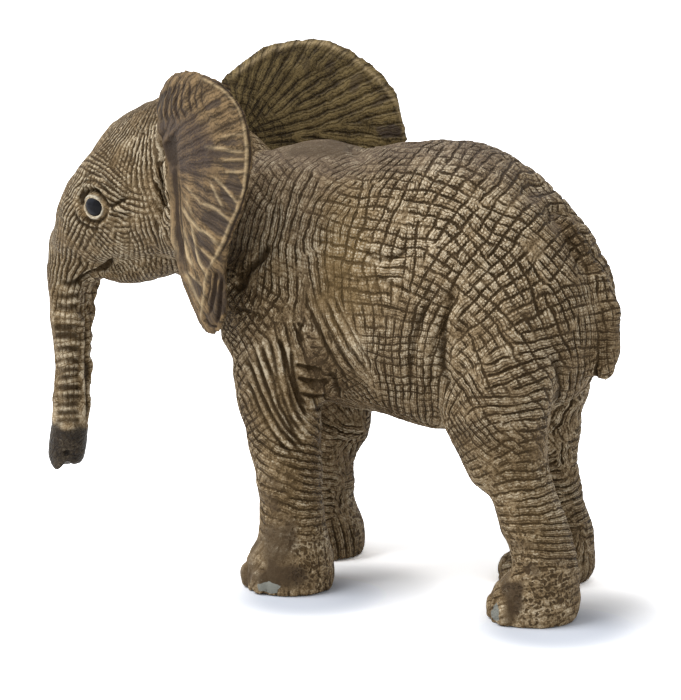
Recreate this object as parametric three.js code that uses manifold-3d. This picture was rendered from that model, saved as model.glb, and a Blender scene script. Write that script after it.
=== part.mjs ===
// Toy elephant calf: a moulded figure glued together from nine solid pieces.
// Millimetres, +Z up, head towards -X, tail towards +X, left side towards -Y.
import * as THREE from 'three';
import { mergeVertices } from 'three/addons/utils/BufferGeometryUtils.js';
import Module from 'manifold-3d';

const wasm = await Module();
wasm.setup();

// Body
const BODY_LENGTH = 48;
const BODY_DEPTH = 36.8;
const BODY_WIDTH = 30;
const BELLY_HEIGHT = 22.3;

// Head and trunk
const HEAD_LENGTH = 32;
const HEAD_HEIGHT = 25.5;
const HEAD_WIDTH = 22.4;
const HEAD_LIFT = 16;
const NECK_PLUG = 2.4;
const JAW_WIDTH = 12.4;
const EYE_LENGTH = 3;
const EYE_HEIGHT = 2.5;
const EYE_BULGE = 0.7;
const TRUNK_DROP = 32.4;
const TRUNK_ROOT = 11;
const TRUNK_TIP = 4.2;

// Ears
const EAR_HEIGHT = 33.6;
const EAR_SPREAD = 23;
const EAR_THICKNESS = 1.7;
const EAR_FLARE_DEGREES = 35;
const EAR_LEAN_DEGREES = 1;
const EAR_BOW = 2.2;
const EAR_TAB = 3;
const EAR_TAB_TURN_SHARE = 1.1;

// Legs
const TRACK = 17;
const FORELEG_GIRTH = 9.2;
const HIND_LEG_GIRTH = 9.4;
const FOOT_LENGTH = 12.8;
const FOOT_WIDTH = 11.8;
const SHOULDER_LENGTH = 15.5;
const THIGH_LENGTH = 15.2;
const SHOULDER_WIDTH = 13.4;
const THIGH_WIDTH = 13.8;
const SHOULDER_RISE = 25.5;
const THIGH_RISE = 22;
const FORE_STRIDE = 3.4;
const HIND_STRIDE = 5.4;

// Tail
const TAIL_LENGTH = 19.5;
const TAIL_DIAMETER = 3.5;

// Room for glue between two pieces
const GLUE_GAP = 0.3;

// Facets around and along each kind of piece.
const TORSO_FACET_COUNTS = { around: 32, along: 24 };
const SKULL_FACET_COUNTS = { around: 28, along: 18 };
const TRUNK_FACET_COUNTS = { around: 16, along: 22 };
const SMALL_FACET_COUNTS = { around: 12, along: 8 };
const LEG_FACET_COUNTS = { around: 20, along: 20 };
const EAR_FACET_COUNTS = { around: 36, along: 12 };
const TAIL_FACET_COUNTS = { around: 10, along: 12 };

const X_AXIS = new THREE.Vector3(1, 0, 0);
const Y_AXIS = new THREE.Vector3(0, 1, 0);
const Z_AXIS = new THREE.Vector3(0, 0, 1);

// A smooth curve through rows of three numbers.
function through(rows) {
  return new THREE.CatmullRomCurve3(rows.map((row) => new THREE.Vector3(...row)), false, 'centripetal');
}

// A closed skin over a row of sections, made from a unit sphere: its poles close the two ends
// flat, and each of its rings is carried out to one section. sectionAt gives the centre and the
// two half axes at a share from 0 to 1 of the way, where travel x first axis = second axis.
function loft(sectionAt, facets) {
  const shape = new THREE.SphereGeometry(1, facets.around, facets.along);
  const places = shape.attributes.position;
  const perRing = facets.around + 1;
  const point = new THREE.Vector3();
  for (let i = 0; i < places.count; i += 1) {
    const ring = Math.floor(i / perRing);
    const turn = 2 * Math.PI * (i % perRing) / facets.around;
    const share = THREE.MathUtils.clamp((ring - 1) / (facets.along - 2), 0, 1);
    const section = sectionAt(share);
    point.copy(section.centre);
    if (ring > 0 && ring < facets.along) {
      const up = Math.sin(turn);
      const side = -Math.cos(turn) * (1 - section.eggShare * up);
      point.addScaledVector(section.first, side).addScaledVector(section.second, up);
    }
    places.setXYZ(i, point.x, point.y, point.z);
  }
  return shape;
}

// Turns a closed geometry into a solid that can be joined and cut.
function solid(geometry) {
  const bare = geometry.clone();
  bare.deleteAttribute('normal');
  bare.deleteAttribute('uv');
  const merged = mergeVertices(bare);
  return new wasm.Manifold(new wasm.Mesh({
    numProp: 3,
    vertProperties: new Float32Array(merged.attributes.position.array),
    triVerts: new Uint32Array(merged.index.array),
  }));
}

// The torso: barrel chest, round belly and sloping rump, with its length along X.
// Rows give place along, height of the back, height of the underside, and width.
const TORSO_SHARES = [
  [-0.50, 0.910, 0.290, 0.62],
  [-0.43, 0.935, 0.140, 0.80],
  [-0.32, 0.968, 0.050, 0.93],
  [-0.20, 0.945, 0.030, 0.96],
  [-0.08, 0.975, 0.016, 0.99],
  [0.04, 0.998, 0.000, 1.00],
  [0.14, 0.998, 0.000, 1.00],
  [0.24, 0.942, 0.015, 0.97],
  [0.33, 0.853, 0.055, 0.90],
  [0.41, 0.743, 0.125, 0.76],
  [0.47, 0.620, 0.230, 0.52],
  [0.497, 0.520, 0.340, 0.24],
];
const TORSO_EGG_SHARE = 0.13;

function torsoSolid() {
  const centres = through(TORSO_SHARES.map(([along, top, bottom]) => [
    along * BODY_LENGTH, 0, BELLY_HEIGHT + (top + bottom) / 2 * BODY_DEPTH,
  ]));
  const halves = through(TORSO_SHARES.map(([, top, bottom, width]) => [
    width / 2 * BODY_WIDTH, (top - bottom) / 2 * BODY_DEPTH, 0,
  ]));
  return solid(loft((share) => {
    const half = halves.getPoint(share);
    return {
      centre: centres.getPoint(share),
      first: Y_AXIS.clone().multiplyScalar(half.x),
      second: Z_AXIS.clone().multiplyScalar(half.y),
      eggShare: TORSO_EGG_SHARE,
    };
  }, TORSO_FACET_COUNTS));
}

// Where the head begins: the chest end of the torso, at the height of the throat.
const NECK = new THREE.Vector3(-BODY_LENGTH / 2 + NECK_PLUG, 0, BELLY_HEIGHT + HEAD_LIFT);

// The skull with the neck plug at its rear, its length along -X.
// Rows give place forwards from the neck, top, underside, and width.
const SKULL_SHARES = [
  [0.00, 0.62, 0.22, 0.62],
  [0.12, 0.72, 0.10, 0.86],
  [0.28, 0.88, 0.07, 0.98],
  [0.44, 0.970, 0.07, 1.00],
  [0.60, 0.905, 0.07, 0.96],
  [0.74, 0.775, 0.05, 0.88],
  [0.86, 0.605, 0.03, 0.74],
  [0.95, 0.440, 0.04, 0.54],
  [0.995, 0.280, 0.06, 0.34],
];
const SKULL_EGG_SHARE = 0.1;

function skullPoint(forwardShare, upShare, side) {
  return new THREE.Vector3(NECK.x - forwardShare * HEAD_LENGTH, side, NECK.z + upShare * HEAD_HEIGHT);
}

function skullSolid(grow) {
  const centres = through(SKULL_SHARES.map(([along, top, bottom]) => (
    skullPoint(along, (top + bottom) / 2, 0).toArray()
  )));
  const halves = through(SKULL_SHARES.map(([, top, bottom, width]) => [
    width / 2 * HEAD_WIDTH + grow, (top - bottom) / 2 * HEAD_HEIGHT + grow, 0,
  ]));
  return solid(loft((share) => {
    const half = halves.getPoint(share);
    const centre = centres.getPoint(share);
    centre.x += grow * (1 - 2 * share);
    return {
      centre,
      first: Y_AXIS.clone().multiplyScalar(-half.x),
      second: Z_AXIS.clone().multiplyScalar(half.y),
      eggShare: SKULL_EGG_SHARE,
    };
  }, SKULL_FACET_COUNTS));
}

// A tapered round limb of the head or the tail that hangs in the middle plane: rows give its
// centre line and its half width, and its sections stand square to that line.
function hangingSolid(rows, sideShare, facets, grow) {
  const line = through(rows.map(([x, z]) => [x, 0, z]));
  const halves = through(rows.map(([, , half]) => [half + grow, 0, 0]));
  return solid(loft((share) => {
    const half = halves.getPoint(share).x;
    const travel = line.getTangent(share);
    const centre = line.getPoint(share).addScaledVector(travel, grow * (2 * share - 1));
    return {
      centre,
      first: Y_AXIS.clone().multiplyScalar(half * sideShare),
      second: travel.clone().cross(Y_AXIS).multiplyScalar(half),
      eggShare: 0,
    };
  }, facets));
}

// Rows give place forwards, height below the root, and thickness from root (1) to tip (0).
const TRUNK_SHARES = [
  [0.76, -0.08, 0.92],
  [0.875, 0.03, 0.90],
  [0.945, 0.16, 0.62],
  [0.965, 0.29, 0.38],
  [0.968, 0.46, 0.24],
  [0.978, 0.62, 0.17],
  [0.994, 0.77, 0.13],
  [1.012, 0.90, 0.10],
  [1.020, 0.97, 0.06],
  [1.023, 1.00, -0.06],
];
const TRUNK_SIDE_SHARE = 1.04;
const TRUNK_ROOT_UP_SHARE = 0.20;

function trunkSolid() {
  return hangingSolid(TRUNK_SHARES.map(([forward, down, thick]) => {
    const root = skullPoint(forward, TRUNK_ROOT_UP_SHARE, 0);
    const half = (TRUNK_TIP + thick * (TRUNK_ROOT - TRUNK_TIP)) / 2;
    return [root.x, root.z - down * TRUNK_DROP, half];
  }), TRUNK_SIDE_SHARE, TRUNK_FACET_COUNTS, 0);
}

// The lower jaw runs forwards under the cheeks to a pointed lip behind the trunk.
// Rows give place forwards, height, and thickness.
const JAW_SHARES = [
  [0.36, 0.16, 0.70],
  [0.50, 0.09, 0.86],
  [0.62, 0.05, 0.74],
  [0.72, 0.03, 0.50],
  [0.80, 0.02, 0.26],
];
const JAW_SIDE_SHARE = 1.3;

function jawSolid() {
  return hangingSolid(JAW_SHARES.map(([forward, up, thick]) => {
    const place = skullPoint(forward, up, 0);
    return [place.x, place.z, thick * JAW_WIDTH / 2 / JAW_SIDE_SHARE];
  }), JAW_SIDE_SHARE, SMALL_FACET_COUNTS, 0);
}

// One eyeball, bulging from the side of the skull.
const EYE_FORWARD_SHARE = 0.69;
const EYE_UP_SHARE = 0.41;
const EYE_SEAT_SHARE = 0.44;

function eyeSolid(side) {
  const ball = new THREE.SphereGeometry(1, SMALL_FACET_COUNTS.around, SMALL_FACET_COUNTS.along);
  const place = skullPoint(EYE_FORWARD_SHARE, EYE_UP_SHARE, side * EYE_SEAT_SHARE * HEAD_WIDTH);
  ball.scale(EYE_LENGTH / 2, EYE_LENGTH / 2 + EYE_BULGE, EYE_HEIGHT / 2);
  ball.translate(place.x, place.y - side * EYE_LENGTH / 2, place.z);
  return solid(ball);
}

function headSolid() {
  return skullSolid(0).add(trunkSolid()).add(jawSolid()).add(eyeSolid(-1)).add(eyeSolid(1));
}

// One ear: a thin bowed leaf whose rim follows an outline of places outwards from its root and
// upwards from its lowest lobe. The front of the outline is the tab that is glued in the head.
const EAR_RIM_SHARES = [
  [-0.02, 0.36],
  [0.06, 0.30],
  [0.19, 0.22],
  [0.36, 0.12],
  [0.49, 0.035],
  [0.60, 0.00],
  [0.70, 0.025],
  [0.735, 0.12],
  [0.71, 0.245],
  [0.75, 0.37],
  [0.86, 0.475],
  [0.96, 0.60],
  [0.995, 0.72],
  [0.965, 0.825],
  [0.85, 0.905],
  [0.69, 0.975],
  [0.50, 1.00],
  [0.34, 0.99],
  [0.17, 0.94],
  [0.03, 0.865],
];
const EAR_TAB_SHARES = [
  [1, 0.785],
  [1, 0.70],
  [1, 0.60],
  [1, 0.47],
];
const EAR_HEART_SHARES = [0.4, 0.62];
const EAR_RIM_ROUND = 8;
const EAR_ROOT_FORWARD_SHARE = 0.355;
const EAR_ROOT_SIDE_SHARE = 0.425;
const EAR_LOW_SHARE = -0.12;

function earSolid(side, grow) {
  const rim = new THREE.CatmullRomCurve3([
    ...EAR_RIM_SHARES.map(([out, up]) => new THREE.Vector3(out * EAR_SPREAD, up * EAR_HEIGHT, 0)),
    ...EAR_TAB_SHARES.map(([tab, up]) => new THREE.Vector3(-tab * EAR_TAB, up * EAR_HEIGHT, 0)),
  ], true, 'centripetal');
  const heart = new THREE.Vector3(
    EAR_HEART_SHARES[0] * EAR_SPREAD, EAR_HEART_SHARES[1] * EAR_HEIGHT, 0,
  );
  const shape = new THREE.SphereGeometry(1, EAR_FACET_COUNTS.around, EAR_FACET_COUNTS.along);
  const places = shape.attributes.position;
  const perRing = EAR_FACET_COUNTS.around + 1;
  const root = skullPoint(
    EAR_ROOT_FORWARD_SHARE, EAR_LOW_SHARE, side * EAR_ROOT_SIDE_SHARE * HEAD_WIDTH,
  );
  const flare = THREE.MathUtils.degToRad(EAR_FLARE_DEGREES);
  const lean = THREE.MathUtils.degToRad(EAR_LEAN_DEGREES);
  const outwards = new THREE.Vector3(Math.cos(flare), side * Math.sin(flare), 0);
  const upwards = new THREE.Vector3(-Math.sin(lean), 0, Math.cos(lean));
  const facing = new THREE.Vector3(-Math.sin(flare), side * Math.cos(flare), 0);
  const point = new THREE.Vector3();
  for (let i = 0; i < places.count; i += 1) {
    const tilt = Math.PI * Math.floor(i / perRing) / EAR_FACET_COUNTS.along;
    const turnShare = (i % perRing) / EAR_FACET_COUNTS.around;
    const edge = rim.getPoint((side > 0 ? 1 - turnShare : turnShare) % 1);
    const leaf = edge.clone().sub(heart);
    leaf.setLength(leaf.length() + grow).multiplyScalar(Math.sin(tilt)).add(heart);
    const fall = Math.sqrt(Math.max(0, 1 - Math.sin(tilt) ** EAR_RIM_ROUND));
    const half = Math.sign(Math.cos(tilt)) * fall * (EAR_THICKNESS / 2 + grow);
    const bow = EAR_BOW * (1 - ((leaf.x - heart.x) / EAR_SPREAD * 2) ** 2);
    point.copy(root).addScaledVector(outwards, leaf.x).addScaledVector(upwards, leaf.y);
    const turnIn = Math.min(0, leaf.x) * EAR_TAB_TURN_SHARE;
    point.addScaledVector(facing, half + bow + turnIn);
    places.setXYZ(i, point.x, point.y, point.z);
  }
  return solid(shape);
}

// One leg with its flat sole. Rows go up from the sole and give: the share of the height from
// the ground to the top of the root, the front and the rear in shares of the named length that
// the last entry picks, and the width. Lengths are measured from the middle of the foot.
const FORELEG_SHARES = [
  [0.000, -0.47, 0.47, 0.94, 'foot'],
  [0.038, -0.50, 0.50, 1.00, 'foot'],
  [0.090, -0.453, 0.485, 0.95, 'foot'],
  [0.146, -0.325, 0.425, 0.84, 'foot'],
  [0.205, -0.416, 0.552, 0.97, 'girth'],
  [0.272, -0.42, 0.52, 0.96, 'girth'],
  [0.366, -0.51, 0.51, 1.02, 'girth'],
  [0.460, -0.62, 0.50, 1.12, 'girth'],
  [0.544, -0.436, 0.31, 0.86, 'root'],
  [0.650, -0.48, 0.39, 0.96, 'root'],
  [0.770, -0.46, 0.46, 1.00, 'root'],
  [0.880, -0.38, 0.44, 0.88, 'root'],
  [0.960, -0.24, 0.34, 0.62, 'root'],
  [1.000, -0.08, 0.18, 0.30, 'root'],
];
const HIND_LEG_SHARES = [
  [0.000, -0.46, 0.46, 0.94, 'foot'],
  [0.050, -0.50, 0.50, 1.00, 'foot'],
  [0.104, -0.436, 0.494, 0.95, 'foot'],
  [0.153, -0.318, 0.478, 0.85, 'foot'],
  [0.217, -0.42, 0.59, 0.98, 'girth'],
  [0.287, -0.50, 0.488, 0.98, 'girth'],
  [0.350, -0.585, 0.351, 0.96, 'girth'],
  [0.406, -0.78, 0.25, 1.04, 'girth'],
  [0.467, -0.64, 0.115, 0.84, 'root'],
  [0.555, -0.73, 0.125, 0.92, 'root'],
  [0.620, -0.776, 0.16, 0.96, 'root'],
  [0.720, -0.776, 0.224, 1.00, 'root'],
  [0.850, -0.64, 0.20, 0.90, 'root'],
  [0.950, -0.44, 0.08, 0.64, 'root'],
  [1.000, -0.28, -0.04, 0.30, 'root'],
];
const FORE_FOOT_SHARE = -0.348;
const HIND_FOOT_SHARE = 0.368;
const ROOT_SPLAY_SHARE = 0.12;

function legSolid(leg, side, grow) {
  const lengths = { foot: FOOT_LENGTH, girth: leg.girth, root: leg.rootLength };
  const widths = { foot: FOOT_WIDTH, girth: leg.girth, root: leg.rootWidth };
  const height = BELLY_HEIGHT + leg.rise;
  const stride = side > 0 ? leg.stride : 0;
  const centres = through(leg.shares.map(([up, front, rear, , kind]) => [
    leg.footShare * BODY_LENGTH + (front + rear) / 2 * lengths[kind] - stride * (1 - up),
    side * TRACK / 2 * (1 + ROOT_SPLAY_SHARE * up),
    up * height,
  ]));
  const halves = through(leg.shares.map(([, front, rear, width, kind]) => [
    (rear - front) / 2 * lengths[kind] + grow, width / 2 * widths[kind] + grow, 0,
  ]));
  return solid(loft((share) => {
    const half = halves.getPoint(share);
    const centre = centres.getPoint(share);
    centre.z += grow * share;
    return {
      centre,
      first: X_AXIS.clone().multiplyScalar(half.x),
      second: Y_AXIS.clone().multiplyScalar(half.y),
      eggShare: 0,
    };
  }, LEG_FACET_COUNTS));
}

const FORELEG = {
  shares: FORELEG_SHARES,
  footShare: FORE_FOOT_SHARE,
  girth: FORELEG_GIRTH,
  rootLength: SHOULDER_LENGTH,
  rootWidth: SHOULDER_WIDTH,
  rise: SHOULDER_RISE,
  stride: FORE_STRIDE,
};
const HIND_LEG = {
  shares: HIND_LEG_SHARES,
  footShare: HIND_FOOT_SHARE,
  girth: HIND_LEG_GIRTH,
  rootLength: THIGH_LENGTH,
  rootWidth: THIGH_WIDTH,
  rise: THIGH_RISE,
  stride: HIND_STRIDE,
};

// The tail leaves the top of the rump and lies against it. Rows give place behind the rump's
// middle plane in shares of the body's length, place down the tail, and thickness.
const TAIL_SHARES = [
  [0.38, -0.10, 0.80],
  [0.435, 0.03, 1.00],
  [0.482, 0.20, 1.06],
  [0.508, 0.42, 1.00],
  [0.512, 0.64, 0.96],
  [0.507, 0.84, 0.98],
  [0.499, 0.96, 0.80],
  [0.492, 1.00, 0.36],
];
const TAIL_ROOT_SHARE = 0.72;

function tailSolid(grow) {
  const rootHeight = BELLY_HEIGHT + TAIL_ROOT_SHARE * BODY_DEPTH;
  return hangingSolid(TAIL_SHARES.map(([behind, down, thick]) => [
    behind * BODY_LENGTH, rootHeight - down * TAIL_LENGTH, thick * TAIL_DIAMETER / 2,
  ]), 1, TAIL_FACET_COUNTS, grow);
}

// A leg's root ends under the back, and its grown copy cuts the socket in the torso.
function bodyWithSockets() {
  const cutters = [
    skullSolid(GLUE_GAP),
    earSolid(-1, GLUE_GAP),
    earSolid(1, GLUE_GAP),
    legSolid(FORELEG, -1, GLUE_GAP),
    legSolid(FORELEG, 1, GLUE_GAP),
    legSolid(HIND_LEG, -1, GLUE_GAP),
    legSolid(HIND_LEG, 1, GLUE_GAP),
    tailSolid(GLUE_GAP),
  ];
  return cutters.reduce((body, cutter) => body.subtract(cutter), torsoSolid());
}

function headWithSlots() {
  return headSolid().subtract(earSolid(-1, GLUE_GAP)).subtract(earSolid(1, GLUE_GAP));
}

// Soft plastic, moulded in one colour and painted over.
function plastic(colour) {
  return new THREE.MeshStandardMaterial({ color: colour, roughness: 0.62, metalness: 0 });
}

function mesh(name, shape, colour) {
  const made = shape.getMesh();
  const geometry = new THREE.BufferGeometry();
  geometry.setAttribute('position', new THREE.BufferAttribute(made.vertProperties, 3));
  geometry.setIndex(new THREE.BufferAttribute(made.triVerts, 1));
  geometry.computeVertexNormals();
  const piece = new THREE.Mesh(geometry, plastic(colour));
  piece.name = name;
  return piece;
}

const HIDE_COLOUR = 0x8d7b60;
const HEAD_COLOUR = 0x85735b;
const EAR_COLOUR = 0x65543f;
const LEG_COLOUR = 0x7d6c52;

const elephant = new THREE.Group();
elephant.add(
  mesh('torso', bodyWithSockets(), HIDE_COLOUR),
  mesh('head_and_trunk', headWithSlots(), HEAD_COLOUR),
  mesh('left_ear', earSolid(-1, 0), EAR_COLOUR),
  mesh('right_ear', earSolid(1, 0), EAR_COLOUR),
  mesh('left_foreleg', legSolid(FORELEG, -1, 0), LEG_COLOUR),
  mesh('right_foreleg', legSolid(FORELEG, 1, 0), LEG_COLOUR),
  mesh('left_hind_leg', legSolid(HIND_LEG, -1, 0), LEG_COLOUR),
  mesh('right_hind_leg', legSolid(HIND_LEG, 1, 0), LEG_COLOUR),
  mesh('tail', tailSolid(0), HIDE_COLOUR),
);

// The origin is on the ground, under the middle of the figure.
const box = new THREE.Box3().setFromObject(elephant);
const middle = box.getCenter(new THREE.Vector3());
elephant.position.set(-middle.x, -middle.y, -box.min.z);

export default elephant;
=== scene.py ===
"""Toy elephant calf on a pale table: sculpted skin, ears, eyes, paint, camera and light."""

import logging
import math
from dataclasses import dataclass, field
from enum import Enum
from itertools import product

import bmesh
import bpy
import numpy as np
from mathutils import Matrix, Vector
from mathutils.bvhtree import BVHTree


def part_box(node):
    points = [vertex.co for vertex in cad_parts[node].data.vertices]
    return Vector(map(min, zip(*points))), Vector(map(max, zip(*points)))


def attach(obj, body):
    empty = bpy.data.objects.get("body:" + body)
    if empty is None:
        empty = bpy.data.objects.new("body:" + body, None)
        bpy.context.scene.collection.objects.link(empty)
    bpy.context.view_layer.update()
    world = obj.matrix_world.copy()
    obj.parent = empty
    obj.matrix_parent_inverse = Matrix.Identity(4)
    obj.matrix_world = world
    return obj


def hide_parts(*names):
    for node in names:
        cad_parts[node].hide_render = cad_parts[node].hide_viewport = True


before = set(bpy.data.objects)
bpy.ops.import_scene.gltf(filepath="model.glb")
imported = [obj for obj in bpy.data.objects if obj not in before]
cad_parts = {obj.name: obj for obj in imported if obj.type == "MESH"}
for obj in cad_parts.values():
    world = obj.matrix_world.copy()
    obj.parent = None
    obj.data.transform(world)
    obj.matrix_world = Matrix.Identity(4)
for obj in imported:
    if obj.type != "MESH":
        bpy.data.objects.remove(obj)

MILLIMETRE = 0.001
Path = tuple[tuple[float, float], ...]
Colour = tuple[float, float, float, float]

logging.basicConfig(level=logging.INFO, format="%(message)s")
log = logging.getLogger("calf")


class Region(Enum):
    """The moulded pieces that make up the blended skin."""

    TORSO = "torso"
    HEAD = "head_and_trunk"
    LEFT_FORE = "left_foreleg"
    RIGHT_FORE = "right_foreleg"
    LEFT_HIND = "left_hind_leg"
    RIGHT_HIND = "right_hind_leg"
    TAIL = "tail"


LEGS = (Region.LEFT_FORE, Region.RIGHT_FORE, Region.LEFT_HIND, Region.RIGHT_HIND)
NEAR_LEGS = (Region.LEFT_FORE, Region.LEFT_HIND)


def smoothstep(low: float, high: float, values: np.ndarray) -> np.ndarray:
    """Zero below low, one above high, and a soft step between them."""
    t = np.clip((values - low) / (high - low), 0.0, 1.0)
    return t * t * (3.0 - 2.0 * t)


def unit(vectors: np.ndarray) -> np.ndarray:
    """The vectors scaled to length one, row by row."""
    size = np.linalg.norm(vectors, axis=-1, keepdims=True)
    return vectors / np.maximum(size, 1e-9)


def bell(distance: np.ndarray, width: float | np.ndarray) -> np.ndarray:
    """A soft hump, one at no distance and a third at about one and a half widths."""
    return np.exp(-0.5 * (distance / width) ** 2)


def linear(code: str) -> Colour:
    """A colour written as RRGGBB, turned into linear light for a shader."""
    shares = [int(code[i : i + 2], 16) / 255 for i in (0, 2, 4)]
    lit = [s / 12.92 if s <= 0.04045 else ((s + 0.055) / 1.055) ** 2.4 for s in shares]
    return (*lit, 1.0)


@dataclass(frozen=True)
class Drift:
    """A smooth random field made from a few dozen plane waves.

    size is the typical width of its blotches, in millimetres.
    """

    size: float
    seed: int
    count: int = 28

    def at(self, points: np.ndarray) -> np.ndarray:
        """The field at each point, mostly between -1 and 1."""
        rng = np.random.default_rng(self.seed)
        ways = unit(rng.normal(size=(self.count, 3)))
        pace = 2 * np.pi / (self.size * rng.uniform(1.4, 3.2, self.count))
        phase = rng.uniform(0, 2 * np.pi, self.count)
        waves = np.sin(points @ (ways * pace[:, None]).T + phase)
        return waves.sum(axis=1) * math.sqrt(2.0 / self.count) * 0.7


@dataclass(frozen=True)
class PhotoCamera:
    """The camera that took the picture, fitted to where the four feet stand.

    Angles are in degrees, distances in millimetres and the focal length in pixels. The sensor is in
    millimetres too, and the clip distances are in metres.
    """

    azimuth: float = 24.76
    elevation: float = 12.0
    distance: float = 450.0
    across: float = -13.0
    rise: float = 30.1
    origin: tuple[float, float, float] = (15.159, 3.3, 0.0)
    focal: float = 3397.5
    width: int = 681
    height: int = 700
    sensor: float = 36.0
    clip: tuple[float, float] = (0.01, 20.0)

    def axes(self) -> tuple[np.ndarray, np.ndarray, np.ndarray]:
        """The camera's right, up and backward directions."""
        a, e = math.radians(self.azimuth), math.radians(self.elevation)
        back = np.array([math.sin(a) * math.cos(e), -math.cos(a) * math.cos(e), math.sin(e)])
        right = np.array([math.cos(a), math.sin(a), 0.0])
        return right, np.cross(back, right), back

    def place(self) -> np.ndarray:
        """Where the camera stands."""
        right, up, back = self.axes()
        return back * self.distance + right * self.across + up * self.rise + np.array(self.origin)

    def ray(self, pixel: tuple[float, float]) -> np.ndarray:
        """The direction in which a pixel of the picture is seen."""
        right, up, back = self.axes()
        across = (pixel[0] - self.width / 2) / self.focal
        down = (pixel[1] - self.height / 2) / self.focal
        return unit(across * right - down * up - back)

    def pixels(self, points: np.ndarray) -> np.ndarray:
        """Where each point falls on the picture, in pixels from its top left corner."""
        right, up, back = self.axes()
        away = points - self.place()
        depth = -(away @ back)
        across = self.width / 2 + self.focal * (away @ right) / depth
        down = self.height / 2 - self.focal * (away @ up) / depth
        return np.stack([across, down], axis=1)

    def build(self) -> None:
        """Makes the scene's camera."""
        back = self.axes()[2]
        data = bpy.data.cameras.new("photo_camera")
        data.sensor_width = self.sensor
        data.lens = data.sensor_width * self.focal / self.height
        data.clip_start, data.clip_end = self.clip
        camera = bpy.data.objects.new("photo_camera", data)
        bpy.context.scene.collection.objects.link(camera)
        camera.rotation_mode = "QUATERNION"
        camera.rotation_quaternion = Vector(-back).to_track_quat("-Z", "Y")
        camera.location = Vector(self.place() * MILLIMETRE)
        bpy.context.scene.camera = camera


class Value:
    """A shader socket that takes part in ordinary arithmetic."""

    def __init__(self, graph: "Graph", socket: bpy.types.NodeSocket) -> None:
        """Keeps the socket and the graph it belongs to."""
        self.graph = graph
        self.socket = socket

    def _math(self, operation: str, *others: "Value | float", clamp: bool = False) -> "Value":
        """One maths node fed with this value and the others."""
        settings = {"operation": operation, "use_clamp": clamp}
        node = self.graph.node("ShaderNodeMath", settings, dict(enumerate((self, *others))))
        return Value(self.graph, node.outputs[0])

    def __add__(self, other: "Value | float") -> "Value":
        """This plus other."""
        return self._math("ADD", other)

    __radd__ = __add__

    def __sub__(self, other: "Value | float") -> "Value":
        """This minus other."""
        return self._math("SUBTRACT", other)

    def __rsub__(self, other: float) -> "Value":
        """Other minus this."""
        return (self * -1.0) + other

    def __mul__(self, other: "Value | float") -> "Value":
        """This times other."""
        return self._math("MULTIPLY", other)

    __rmul__ = __mul__

    def most(self, other: "Value | float") -> "Value":
        """The larger of this and other."""
        return self._math("MAXIMUM", other)

    def cosine(self) -> "Value":
        """The cosine of this angle."""
        return self._math("COSINE")

    def turn(self, other: "Value") -> "Value":
        """The angle of a point that lies this far across and other along."""
        return other._math("ARCTAN2", self)

    def held(self) -> "Value":
        """This kept between zero and one."""
        return self._math("ADD", 0.0, clamp=True)

    def step(self, low: float, high: float) -> "Value":
        """A soft step from zero at low to one at high."""
        node = self.graph.node(
            "ShaderNodeMapRange",
            {"interpolation_type": "SMOOTHSTEP"},
            {0: self, 1: low, 2: high, 3: 0.0, 4: 1.0},
        )
        return Value(self.graph, node.outputs[0])


class Graph:
    """The shader nodes of a material or of the surroundings: every node is made here."""

    def __init__(self, tree: bpy.types.NodeTree) -> None:
        """Keeps the tree that the nodes go into."""
        self.tree = tree

    def node(
        self, kind: str, settings: dict | None = None, inputs: dict | None = None
    ) -> bpy.types.Node:
        """Adds a node.

        Args:
            kind: the node's type.
            settings: its properties by name.
            inputs: a constant or a Value for each input, by name or number.
        Returns:
            The node.
        """
        made = self.tree.nodes.new(kind)
        for name, value in (settings or {}).items():
            setattr(made, name, value)
        for name, value in (inputs or {}).items():
            self.feed(made.inputs[name], value)
        return made

    def feed(self, socket: bpy.types.NodeSocket, value: Value | Colour | Vector | float) -> None:
        """Sets a socket to a constant, or links a Value to it."""
        if isinstance(value, Value):
            self.tree.links.new(value.socket, socket)
        else:
            socket.default_value = value

    def attribute(self, name: str) -> tuple[Value, Value, Value]:
        """The three parts of a vector that the mesh carries."""
        carried = self.node("ShaderNodeAttribute", {"attribute_name": name})
        parts = self.node("ShaderNodeSeparateXYZ", {}, {0: Value(self, carried.outputs["Vector"])})
        return tuple(Value(self, parts.outputs[i]) for i in range(3))

    def place(self) -> Value:
        """The object's own coordinates."""
        return Value(self, self.node("ShaderNodeTexCoord").outputs["Object"])

    def noise(self, scale: float, detail: float = 2.0) -> Value:
        """A noise field over the object, scale to the metre."""
        made = self.node(
            "ShaderNodeTexNoise", {}, {"Vector": self.place(), "Scale": scale, "Detail": detail}
        )
        return Value(self, made.outputs[0])

    def cracks(self, scale: float, width: float) -> Value:
        """Lines between small cells, scale cells to the metre: one on a line and zero off it."""
        made = self.node(
            "ShaderNodeTexVoronoi",
            {"feature": "DISTANCE_TO_EDGE"},
            {"Vector": self.place(), "Scale": scale},
        )
        return 1.0 - Value(self, made.outputs["Distance"]).step(0.0, width)

    def mix(self, share: Value | float, low: Value | Colour, high: Value | Colour) -> Value:
        """A colour between low and high; each is a Value or a colour."""
        made = self.node("ShaderNodeMix", {"data_type": "RGBA"}, {0: share, 6: low, 7: high})
        return Value(self, made.outputs[2])

    def distance(self, spot: Vector) -> Value:
        """How far the shaded place lies from a spot, in metres."""
        made = self.node("ShaderNodeVectorMath", {"operation": "DISTANCE"}, {0: self.place(), 1: spot})
        return Value(self, made.outputs["Value"])

    def rays(self, *kinds: str) -> Value:
        """One for the kinds of ray named, as by Camera or Glossy, and zero for all others."""
        found = self.node("ShaderNodeLightPath").outputs
        return sum((Value(self, found[f"Is {kind} Ray"]) for kind in kinds), 0.0).held()


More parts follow.
